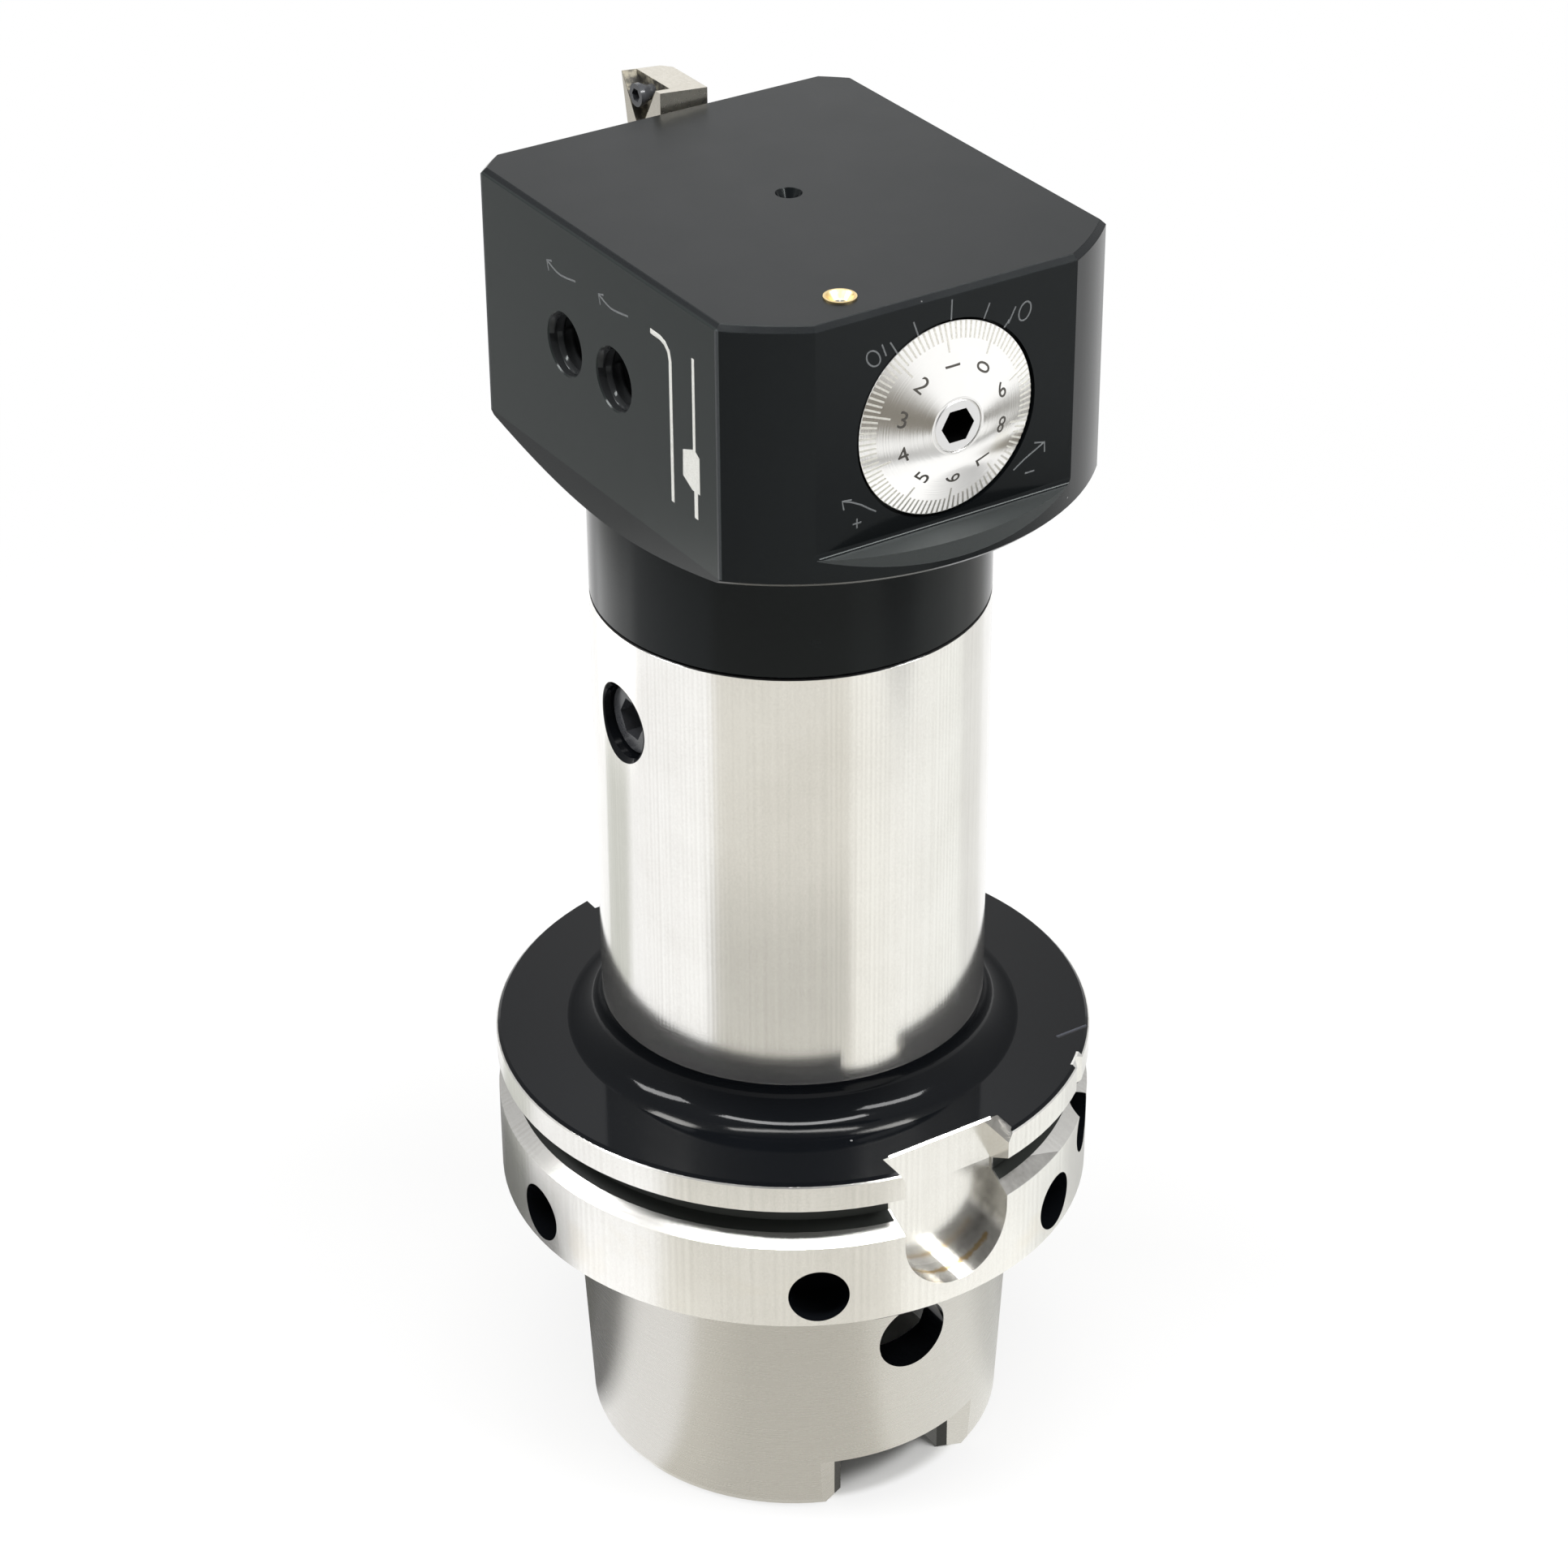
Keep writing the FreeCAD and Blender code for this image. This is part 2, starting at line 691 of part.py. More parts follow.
def make_guide_key():
    """Screwed guide key: threaded body at the flat and a tip in the carrier's slot."""
    body_start_y = -carrier_r - key_shoulder - key_shoulder_gap
    head_y = -side_flat_y + key_head_sink
    r = key_body_r - thread_clear
    body = cylinder(r, V(key_x, body_start_y, axis_z), -AY, body_start_y - head_y)
    tip = cylinder(key_half, V(key_x, key_tip_y, axis_z), -AY, key_tip_y - body_start_y)
    return body.fuse(tip).cut(hex_socket(key_hex_af, V(key_x, head_y, axis_z), AY, key_hex_depth))


def make_carrier_wiper():
    start = V(tool_face_x - wiper_inset - wiper_width + wiper_side_gap, 0, axis_z)
    return ring(carrier_r + wiper_gap, wiper_outer_r - press_clear, start, AX, wiper_width - 2 * wiper_side_gap)


# Spindle, bearing and dial

def bulkhead_outer_x():
    return bore_back_x - bulkhead_t


def inner_washer_x():
    return bulkhead_outer_x() - bearing_gap - washer_t


def collar_x():
    return inner_washer_x() - bearing_gap - collar_t


def outer_washer_x():
    return collar_x() - bearing_gap - washer_t


def bearing_end_x():
    return bulkhead_outer_x() - bearing_depth


def dial_back_x():
    return bearing_end_x() - dial_back_gap


def dial_front_x():
    return -dial_face_x - dial_proud


def make_adjusting_spindle():
    """Fine screw with a thrust collar and a stem that carries the dial."""
    thread = cylinder(spindle_r, V(bore_back_x, 0, axis_z), AX, spindle_tip_x - bore_back_x)
    collar_end = collar_x() + collar_t
    journal = cylinder(journal_r, V(collar_end, 0, axis_z), AX, bore_back_x - collar_end)
    collar = cylinder(collar_r, V(collar_x(), 0, axis_z), AX, collar_t)
    rim_x = dial_front_x() + stem_edge
    stem = cylinder(stem_r, V(rim_x, 0, axis_z), AX, collar_x() - rim_x)
    stem = stem.fuse(cone(stem_r - stem_edge, stem_r, V(dial_front_x(), 0, axis_z), AX, stem_edge))
    socket = hex_socket(dial_socket_af, V(dial_front_x(), 0, axis_z), AX, dial_socket_depth)
    return thread.fuse(journal).fuse(collar).fuse(stem).cut(socket)


def make_thrust_washer(x, inner_r):
    return ring(inner_r, bearing_r - washer_edge_gap, V(x, 0, axis_z), AX, washer_t)


def make_bearing_nut():
    start = bearing_end_x()
    length = outer_washer_x() - bearing_gap - start
    return ring(stem_r + nut_bore_gap, bearing_r - thread_clear, V(start, 0, axis_z), AX, length)


def grub_hole(side):
    start = V(dial_back_x() - dial_rim_len / 2, 0, axis_z)
    return cylinder(grub_r, start, AZ * side, dial_r + overcut)


def make_scale_dial():
    """Dial with a cylindrical rim and a convex conical scale face."""
    back, front = dial_back_x(), dial_front_x()
    rim_end = back - dial_rim_len
    rim = cylinder(dial_r, V(back, 0, axis_z), -AX, dial_rim_len)
    face = cone(dial_r, dial_crown_r, V(rim_end, 0, axis_z), -AX, rim_end - front)
    dial = rim.fuse(face)
    bore_r = stem_r + press_clear
    dial = dial.cut(cylinder(bore_r, V(back + overcut, 0, axis_z), -AX, back - front + 2 * overcut))
    for side in (-1, 1):
        dial = dial.cut(grub_hole(side))
    return dial


def make_dial_grub_screws():
    """Two grub screws that hold the dial on the spindle stem."""
    screws = []
    for side in (-1, 1):
        start = V(dial_back_x() - dial_rim_len / 2, 0, axis_z + side * (stem_r + grub_end_gap))
        screws.append(cylinder(grub_r - press_clear, start, AZ * side, grub_len))
    return Part.makeCompound(screws)


# Locking screws and pads

def pad_start_y():
    return carrier_flat_y + seat_gap


def make_lock_pad(x):
    return cylinder(pad_r, V(x, pad_start_y(), lock_z), AY, pad_t)


def make_lock_screw(x):
    start_y = pad_start_y() + pad_t + seat_gap
    head_y = side_flat_y - lock_sink
    r = lock_r - thread_clear
    screw = cylinder(r, V(x, start_y, lock_z), AY, head_y - start_y)
    return screw.cut(hex_socket(lock_hex_af, V(x, head_y, lock_z), -AY, lock_hex_depth))


# Oiler

def oiler_floor_z():
    """Height of the chamber floor inside the oiler body."""
    return head_top_z - oiler_depth + oiler_foot_gap + oiler_floor_t


def oiler_ball_z():
    """Height of the ball's centre when it closes the mouth from below."""
    seat_depth = math.sqrt((oiler_ball_r + seat_gap) ** 2 - oiler_mouth_r ** 2)
    return head_top_z - oiler_lip - seat_depth


def make_oiler_body():
    """Press-in oiler with a dished mouth above the ball seat."""
    top = head_top_z + oiler_rim_h
    bottom = head_top_z - oiler_depth + oiler_foot_gap
    floor_z = oiler_floor_z()
    lip_z = head_top_z - oiler_lip
    chamber_top = lip_z - (oiler_chamber_r - oiler_mouth_r)
    body = cylinder(oiler_r - press_clear, V(oiler_x, oiler_y, bottom), AZ, top - bottom)
    body = body.cut(cylinder(oiler_chamber_r, V(oiler_x, oiler_y, floor_z), AZ, chamber_top - floor_z))
    body = body.cut(cone(oiler_chamber_r, oiler_mouth_r, V(oiler_x, oiler_y, chamber_top), AZ, lip_z - chamber_top))
    body = body.cut(cone(oiler_mouth_r, oiler_r - oiler_rim_w, V(oiler_x, oiler_y, lip_z), AZ, top - lip_z))
    return body.cut(cylinder(oil_drill_r, V(oiler_x, oiler_y, bottom), AZ, floor_z - bottom))


def make_oiler_ball():
    return Part.makeSphere(oiler_ball_r, V(oiler_x, oiler_y, oiler_ball_z()))


def make_oiler_spring():
    """Stack of closed rings that stands for the coil spring under the ball."""
    wire_corner_r = spring_wire_r / math.cos(math.pi / spring_sides)
    low = oiler_floor_z() + wire_corner_r + spring_end_gap
    reach = oiler_ball_r + wire_corner_r + spring_end_gap
    high = oiler_ball_z() - math.sqrt(reach ** 2 - spring_coil_r ** 2)
    pitch = (high - low) / (spring_turns - 1)
    rings = []
    for k in range(spring_turns):
        centre = V(oiler_x, oiler_y, low + k * pitch)
        rings.append(polygon_ring(spring_sides, spring_wire_r, spring_coil_r, centre))
    return Part.makeCompound(rings)


# Insert holder

def insert_corners(grow):
    """Corners of the triangular pocket, grown outward by a clearance."""
    height = insert_edge * math.sqrt(3) / 2
    corners = [
        (cut_corner_x, cut_corner_z),
        (cut_corner_x - insert_edge, cut_corner_z),
        (cut_corner_x - insert_edge / 2, cut_corner_z - height),
    ]
    centre_x = cut_corner_x - insert_edge / 2
    centre_z = cut_corner_z - height / 3
    scale = 1 + grow / (height / 3)
    return [(centre_x + (x - centre_x) * scale, centre_z + (z - centre_z) * scale) for x, z in corners]


def insert_centre():
    height = insert_edge * math.sqrt(3) / 2
    return cut_corner_x - insert_edge / 2, cut_corner_z - height / 3


def holder_arm():
    """Upright arm beside the axis plane; its outer side leans back below the cutting corner, and
    its top falls away from the pocket."""
    side = prism_y([
        (carrier_face_x, holder_base_low_z),
        (carrier_face_x + holder_base_t, holder_base_low_z),
        (carrier_face_x + holder_base_t, holder_base_top_z),
        (holder_heel_x, holder_heel_z),
        (holder_tip_x, holder_top_z),
        (carrier_face_x, holder_top_z),
    ], holder_back_y, holder_front_y)
    plan = prism_z([
        (carrier_face_x, holder_front_y),
        (holder_tip_x, holder_front_y),
        (holder_tip_x, holder_front_y - holder_tip_t),
        (carrier_face_x + holder_back_len, holder_back_y),
        (carrier_face_x, holder_back_y),
    ], holder_base_low_z, holder_top_z)
    top = prism_x([
        (holder_front_y, holder_base_low_z),
        (holder_front_y, holder_top_z),
        (holder_back_y, holder_top_z - holder_top_slope),
        (holder_back_y, holder_base_low_z),
    ], carrier_face_x, holder_tip_x)
    return side.common(plan).common(top)


def insert_pocket():
    return prism_y(insert_corners(pocket_clear), pocket_floor_y, holder_front_y + overcut)


def make_insert_holder():
    base = box(V(carrier_face_x, -holder_base_half_y, holder_base_low_z),
               V(carrier_face_x + holder_base_t, holder_base_half_y, holder_base_top_z))
    along_x = [e for e in base.Edges if abs(e.Vertexes[0].Point.x - e.Vertexes[1].Point.x) > holder_base_t / 2]
    body = base.makeFillet(holder_corner_r, along_x).fuse(holder_arm())
    body = body.cut(insert_pocket())
    head_r_gap = holder_screw_head_r + holder_screw_head_gap
    sink_depth = holder_screw_head_h + holder_screw_sink
    outer = V(carrier_face_x + holder_base_t, 0, axis_z)
    body = body.cut(cylinder(head_r_gap, outer, -AX, sink_depth))
    body = body.cut(cylinder(holder_screw_r + holder_screw_head_gap, outer, -AX, holder_base_t))
    body = body.cut(locating_pin_hole())
    x, z = insert_centre()
    depth = insert_screw_len - insert_screw_head_h
    return body.cut(cylinder(insert_screw_r, V(x, pocket_floor_y, z), -AY, depth)).removeSplitter()


def make_holder_screw():
    outer_x = carrier_face_x + holder_base_t - holder_screw_sink
    head_low_x = outer_x - holder_screw_head_h
    head = cylinder(holder_screw_head_r, V(head_low_x, 0, axis_z), AX, holder_screw_head_h)
    shank = cylinder(holder_screw_r - thread_clear, V(head_low_x, 0, axis_z), -AX, holder_screw_len)
    socket = hex_socket(holder_screw_hex_af, V(outer_x, 0, axis_z), -AX, holder_screw_hex_depth)
    return head.fuse(shank).cut(socket)


def make_locating_pin():
    start = V(carrier_face_x - locating_pin_len / 2, 0, locating_pin_z)
    return cylinder(locating_pin_r - locating_pin_clear, start, AX, locating_pin_len)


def make_insert_screw():
    """Insert screw left in the empty pocket, its head proud of the pocket floor."""
    x, z = insert_centre()
    shank_r = insert_screw_r - press_clear
    head = cylinder(insert_screw_head_r, V(x, 0, z), -AY, insert_screw_rim_h)
    taper = cone(insert_screw_head_r, shank_r, V(x, -insert_screw_rim_h, z), -AY, insert_screw_head_h)
    shank = cylinder(shank_r, V(x, 0, z), -AY, insert_screw_len)
    socket = hex_socket(insert_screw_hex_af, V(x, 0, z), -AY, insert_screw_head_h)
    return head.fuse(taper).fuse(shank).cut(socket)


def all_parts():
    return {
        "holder_body": make_holder_body(),
        "clamp_screw": make_clamp_screw(),
        "drive_pin": make_drive_pin(),
        "spigot_o_ring": make_spigot_o_ring(),
        "head_body": make_head_body(),
        "tool_carrier": make_tool_carrier(),
        "guide_key": make_guide_key(),
        "carrier_wiper": make_carrier_wiper(),
        "adjusting_spindle": make_adjusting_spindle(),
        "thrust_washer_inner": make_thrust_washer(inner_washer_x(), journal_r + washer_edge_gap),
        "thrust_washer_outer": make_thrust_washer(outer_washer_x(), stem_r + washer_edge_gap),
        "bearing_nut": make_bearing_nut(),
        "scale_dial": make_scale_dial(),
        "dial_grub_screws": make_dial_grub_screws(),
        "lock_pad_1": make_lock_pad(lock_x[0]),
        "lock_pad_2": make_lock_pad(lock_x[1]),
        "lock_screw_1": make_lock_screw(lock_x[0]),
        "lock_screw_2": make_lock_screw(lock_x[1]),
        "oiler_body": make_oiler_body(),
        "oiler_ball": make_oiler_ball(),
        "oiler_spring": make_oiler_spring(),
        "insert_holder": make_insert_holder(),
        "holder_screw": make_holder_screw(),
        "locating_pin": make_locating_pin(),
        "insert_screw": make_insert_screw(),
    }


os.makedirs("parts", exist_ok=True)
for name, shape in all_parts().items():
    print(name, "solids", len(shape.Solids), "valid", shape.isValid(), "volume", round(shape.Volume, 1))
    shape.exportStep("parts/" + name + ".step")
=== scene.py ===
import math
import bpy
from mathutils import Matrix, Vector


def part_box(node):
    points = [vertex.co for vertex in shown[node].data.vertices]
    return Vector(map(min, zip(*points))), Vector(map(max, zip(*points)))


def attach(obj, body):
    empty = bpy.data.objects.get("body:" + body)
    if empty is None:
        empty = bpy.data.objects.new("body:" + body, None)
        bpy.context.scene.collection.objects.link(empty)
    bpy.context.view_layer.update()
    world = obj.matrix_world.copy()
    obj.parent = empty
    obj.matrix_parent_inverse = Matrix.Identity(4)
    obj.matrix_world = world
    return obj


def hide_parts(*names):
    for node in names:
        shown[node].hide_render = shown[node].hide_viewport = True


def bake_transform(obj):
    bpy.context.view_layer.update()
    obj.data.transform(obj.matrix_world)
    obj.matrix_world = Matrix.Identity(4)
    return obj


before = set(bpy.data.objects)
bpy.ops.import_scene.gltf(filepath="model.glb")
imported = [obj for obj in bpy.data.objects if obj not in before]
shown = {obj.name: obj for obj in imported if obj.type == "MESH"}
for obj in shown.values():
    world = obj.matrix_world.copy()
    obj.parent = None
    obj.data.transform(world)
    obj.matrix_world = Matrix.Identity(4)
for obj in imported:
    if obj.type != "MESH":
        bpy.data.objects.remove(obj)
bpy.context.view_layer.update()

mm = 0.001
degreesPerRadian = 57.29578


def deselectAll():
    if bpy.context.object and bpy.context.object.mode != "OBJECT":
        bpy.ops.object.mode_set(mode="OBJECT")
    bpy.ops.object.select_all(action="DESELECT")


def activate(piece):
    deselectAll()
    piece.select_set(True)
    bpy.context.view_layer.objects.active = piece


class Value:  # an output socket; a sum on it adds a Math node
    def __init__(self, recipe, socket):
        self.recipe = recipe
        self.socket = socket

    def sum(self, operation, *values):
        return self.recipe.node("ShaderNodeMath", {"operation": operation}, list(values))

    def __add__(self, other): return self.sum("ADD", self, other)
    def __sub__(self, other): return self.sum("SUBTRACT", self, other)
    def __rsub__(self, other): return self.sum("SUBTRACT", other, self)
    def __mul__(self, other): return self.sum("MULTIPLY", self, other)
    def __truediv__(self, other): return self.sum("DIVIDE", self, other)
    def __gt__(self, other): return self.sum("GREATER_THAN", self, other)
    def __lt__(self, other): return self.sum("LESS_THAN", self, other)
    def __abs__(self): return self.sum("ABSOLUTE", self)

    def rise(self, low, high):  # 0 below low, 1 above high, smooth between
        return self.recipe.node("ShaderNodeMapRange", {"interpolation_type": "SMOOTHSTEP"},
                                {0: self, 1: low, 2: high, 3: 0.0, 4: 1.0})

    def hump(self, low, up, down, high):  # 0 outside low and high, 1 between up and down
        return self.rise(low, up) * (1.0 - self.rise(down, high))

    def within(self, low, high):  # 1 inside, 0 outside, with sharp ends
        return (self > low) * (self < high)


class Recipe:  # the nodes of one material or of the world
    def __init__(self, tree):
        self.tree = tree

    def node(self, kind, settings=None, inputs=None, output=0):
        made = self.tree.nodes.new(kind)
        for name, value in (settings or {}).items():
            if name == "stops":
                self.setStops(made.color_ramp, value)
            else:
                setattr(made, name, value)
        pairs = inputs.items() if isinstance(inputs, dict) else enumerate(inputs or [])
        for key, value in pairs:
            if isinstance(value, Value):
                self.tree.links.new(value.socket, made.inputs[key])
            else:
                made.inputs[key].default_value = value
        return Value(self, made.outputs[output])

    def setStops(self, ramp, stops):
        while len(ramp.elements) > 1:
            ramp.elements.remove(ramp.elements[0])
        ramp.elements[0].position = stops[0][0]
        for place, _ in stops[1:]:
            ramp.elements.new(place)
        for element, (place, level) in zip(ramp.elements, stops):
            element.position = place
            element.color = (level, level, level, 1) if isinstance(level, float) else (*level, 1)

    def mix(self, factor, first, second):  # colours
        return self.node("ShaderNodeMix", {"data_type": "RGBA"}, {0: factor, 6: first, 7: second}, 2)

    def vector(self, x, y, z):
        return self.node("ShaderNodeCombineXYZ", None, [x, y, z])

    def noise(self, place, scale, detail=2.0, rough=0.5):
        return self.node("ShaderNodeTexNoise", None,
                         {"Vector": place, "Scale": scale, "Detail": detail, "Roughness": rough})

    def spots(self, place, scale):  # distance to the nearest of scattered points
        return self.node("ShaderNodeTexVoronoi", None, {"Vector": place, "Scale": scale})

    def larger(self, first, second):
        return self.node("ShaderNodeMath", {"operation": "MAXIMUM"}, [first, second])

    def smaller(self, first, second):
        return self.node("ShaderNodeMath", {"operation": "MINIMUM"}, [first, second])

    def root(self, value):
        return self.node("ShaderNodeMath", {"operation": "SQRT"}, [value])

    def wave(self, value):
        return self.node("ShaderNodeMath", {"operation": "SINE"}, [value])

    def angle(self, y, x):  # degrees
        return self.node("ShaderNodeMath", {"operation": "ARCTAN2"}, [y, x]) * degreesPerRadian

    def length(self, first, second):
        return self.root(first * first + second * second)

    def axes(self, place):
        return [self.node("ShaderNodeSeparateXYZ", None, [place], k) for k in range(3)]


class Finish(Recipe):
    def __init__(self, name, sockets=None):
        self.material = bpy.data.materials.new(name)
        self.material.use_nodes = True
        super().__init__(self.material.node_tree)
        self.shader = self.tree.nodes["Principled BSDF"]
        for socket, value in (sockets or {}).items():
            self.shader.inputs[socket].default_value = value
        place = self.node("ShaderNodeTexCoord", None, None, 3)
        self.place = self.node("ShaderNodeVectorMath", {"operation": "SCALE"}, {0: place, 3: 1000.0})  # in mm
        self.x, self.y, self.z = self.axes(self.place)

    def feed(self, socket, value):
        self.tree.links.new(value.socket, self.shader.inputs[socket])

    def bump(self, height, reach, strength=1.0, under=None):
        inputs = {"Height": height, "Distance": reach, "Strength": strength}
        if under:
            inputs["Normal"] = under
        return self.node("ShaderNodeBump", None, inputs)

    def wear(self, *pieces):
        for piece in pieces:
            if piece.material_slots:
                for slot in piece.material_slots:
                    slot.link = "OBJECT"
                    slot.material = self.material
            else:
                piece.data.materials.append(self.material)


cameraView = {
    "place": (-488.17, 312.62, 424.57),
    "look": (0.72115, -0.45964, -0.51834),
    "roll": -0.006,
    "lens": 95.28,
}


def addCamera():
    look = Vector(cameraView["look"]).normalized()
    right = look.cross(Vector((0, 0, 1))).normalized()
    up = right.cross(look)
    turn, side = math.cos(cameraView["roll"]), math.sin(cameraView["roll"])
    right, up = right * turn + up * side, up * turn - right * side
    bpy.ops.object.camera_add()
    camera = bpy.context.object
    camera.name = "photoCamera"
    camera.data.lens = cameraView["lens"]
    camera.data.sensor_width = 36
    camera.data.clip_start = 0.01
    place = Matrix((right, up, -look)).transposed().to_4x4()
    place.translation = Vector(cameraView["place"]) * mm
    camera.matrix_world = place
    bpy.context.scene.camera = camera


stageLook = {
    "floorZ": -50.2,
    "floorSize": 6.0,
    "paper": {"Base Color": (0.93, 0.93, 0.92, 1), "Roughness": 0.9, "Specular IOR Level": 0.1},
    "cameraShare": 0.82,  # how much of the floor's white is its own light
    "nearWhite": 0.93,  # and how bright that light is near the object, where its shadow falls
    "outward": (150.0, 450.0),  # from the first reach to the second it gets fully white
    "hole": (32.5, 34.5),  # inside this reach the floor under the hollow shank stays in its shade
    "worldLight": 0.42,
    "frontAngle": 147.4,  # where the photo's camera stands, seen from the tool's axis
    "nearFloor": [  # what polished metal sees on the floor, by angle from the front
        (-180, (1.12, 1.12, 1.12)), (-132, (1.12, 1.12, 1.12)), (-129, (0.7, 0.71, 0.67)),
        (-107, (0.68, 0.69, 0.65)), (-100, (1.08, 1.08, 1.09)), (-46, (1.12, 1.12, 1.12)),
        (-40, (0.83, 0.81, 0.75)), (29, (0.81, 0.79, 0.73)), (35, (1.0, 0.99, 0.94)),
        (70, (1.03, 1.03, 1.0)), (108, (1.0, 1.01, 0.98)), (113, (0.84, 0.84, 0.82)),
        (134, (0.88, 0.88, 0.86)), (141, (1.05, 1.05, 1.05)), (180, (1.12, 1.12, 1.12)),
    ],
    "farFloor": [(-180, 1.0), (-140, 0.9), (-115, 0.72), (-100, 0.7), (-40, 0.6), (10, 1.0), (100, 1.15),
                 (130, 1.0), (180, 1.0)],
    "farReach": (330.0, 400.0),  # where the far pattern takes over from the near one
    "footShade": [(-180, 0.2), (-85, 0.2), (-72, 1.13), (-35, 1.13), (-20, 1.0), (20, 1.0), (35, 1.13),
                  (80, 1.13), (92, 0.85), (180, 0.5)],  # what the taper sees close by
    "footReach": (112.0, 132.0),
    "sideGlow": {  # a brighter patch that the face with the locking screws sees
        "level": 1.8, "turn": (-142.0, -134.0, -100.0, -92.0), "reach": (240.0, 300.0, 325.0, 365.0),
    },
    "columnShade": {  # the column is darker low down
        "share": 0.28, "colour": (0.1, 0.1, 0.09, 1),
        "turn": (-50.0, -44.0, 29.0, 35.0), "reach": (150.0, 170.0, 200.0, 240.0),
    },
    "streakFrom": (-332, -183),  # the dial's two dark streaks are patches round this spot
    "leftStreak": {
        "colour": (0.19, 0.172, 0.14, 1), "bearing": (151.0, 156.0, 180.0, 200.0), "away": (40.0, 65.0, 600.0, 800.0),
    },
    "rightStreak": {
        "colour": (0.15, 0.14, 0.12, 1), "bearing": (-90.0, -88.0, -74.0, -64.0), "wrapped": 262.0,
        "away": (25.0, 50.0, 170.0, 210.0),
    },
    "middleSpot": {"share": 0.6, "colour": (0.3, 0.3, 0.3, 1), "away": (40.0, 110.0)},
    "sky": [(-180, 1.5), (-176, 1.15), (-168, 0.4), (-120, 0.55), (-70, 0.7), (-40, 0.3), (-15, 0.16),
            (15, 0.16), (40, 0.3), (70, 0.8), (120, 0.66), (168, 0.42), (176, 1.1), (180, 1.5)],
    "lampAim": (0, 0, 90),
    "lampWidth": 0.13,
    "lamps": [  # name, place, length, watts: long strips that draw the arcs on the black fillet
        ("topLamp", (-190, 120, 900), 0.75, 9.0),
        ("leftLamp", (330, 560, 700), 0.45, 4.2),
        ("rightLamp", (-560, -330, 700), 0.5, 5.0),
    ],
}
cameraRays, glossyRays = 0, 3  # outputs of the Light Path node


def wrapped(recipe, angle, high, low):
    return recipe.node("ShaderNodeMath", {"operation": "WRAP"}, [angle, high, low])


def toFront(recipe, x, y):
    return wrapped(recipe, recipe.angle(y, x) - stageLook["frontAngle"], 180.0, -180.0)


def bands(recipe, turned, levels):  # levels by angle, as a ramp over the full circle
    stops = [((angle + 180) / 360, level) for angle, level in levels]
    share = (turned + 180.0) / 360.0
    return recipe.node("ShaderNodeValToRGB", {"stops": stops}, [share])


def floorPattern(paper, reach):  # what polished surfaces see of the floor
    look = stageLook
    turned = toFront(paper, paper.x, paper.y)
    near = bands(paper, turned, look["nearFloor"])
    far = bands(paper, turned, look["farFloor"])
    glow = paper.mix(reach.rise(*look["farReach"]), near, far)
    side = look["sideGlow"]
    beside = turned.hump(*side["turn"]) * reach.hump(*side["reach"])
    glow = paper.mix(beside, glow, (*[side["level"]] * 3, 1))
    shade = look["columnShade"]
    middle = reach.hump(*shade["reach"]) * turned.hump(*shade["turn"])
    glow = paper.mix(middle * shade["share"], glow, shade["colour"])
    ring = 1.0 - reach.rise(*look["footReach"])
    under = bands(paper, turned, look["footShade"])
    multiply = {"data_type": "RGBA", "blend_type": "MULTIPLY"}
    dimmed = paper.node("ShaderNodeMix", multiply, {0: ring, 6: glow, 7: under}, 2)
    return paper.mix(ring, glow, dimmed)


def addStreaks(paper, glow):  # the patches that the dial's cone shows as two dark streaks
    look = stageLook
    fromX, fromY = look["streakFrom"]
    sideX, sideY = paper.x - fromX, paper.y - fromY
    away = paper.length(sideX, sideY)
    bearing = wrapped(paper, paper.angle(sideY, sideX), 270.0, -90.0)
    left, right, spot = look["leftStreak"], look["rightStreak"], look["middleSpot"]
    glow = paper.mix(bearing.hump(*left["bearing"]) * away.hump(*left["away"]), glow, left["colour"])
    turned = (bearing > right["wrapped"]) + bearing.hump(*right["bearing"])
    glow = paper.mix(turned * away.hump(*right["away"]), glow, right["colour"])
    return paper.mix((1.0 - away.rise(*spot["away"])) * spot["share"], glow, spot["colour"])


def addFloor():
    look = stageLook
    bpy.ops.mesh.primitive_plane_add(size=look["floorSize"], location=(0, 0, look["floorZ"] * mm))
    floor = bpy.context.object
    bpy.ops.object.transform_apply(location=True)
    floor.name = "floor"
    paper = Finish("stagePaper", look["paper"])
    reach = paper.length(paper.x, paper.y)
    glow = addStreaks(paper, floorPattern(paper, reach))
    light = paper.node("ShaderNodeLightPath", None, None, cameraRays)
    glossy = paper.node("ShaderNodeLightPath", None, None, glossyRays)
    outward = reach.rise(*look["outward"])
    seen = paper.mix(outward, (*[look["nearWhite"]] * 3, 1), (1.0, 1.0, 1.0, 1))
    colour = paper.mix(glossy, seen, glow)
    shine = paper.node("ShaderNodeEmission", None, {"Color": colour, "Strength": 1.0})
    own = outward * (1.0 - look["cameraShare"]) + look["cameraShare"]  # no shadow falls far out
    share = paper.larger(light * reach.rise(*look["hole"]) * own, glossy)
    both = paper.node("ShaderNodeMixShader", None, {0: share, 1: Value(paper, paper.shader.outputs[0]), 2: shine})
    paper.tree.links.new(both.socket, paper.tree.nodes["Material Output"].inputs["Surface"])
    floor.data.materials.append(paper.material)


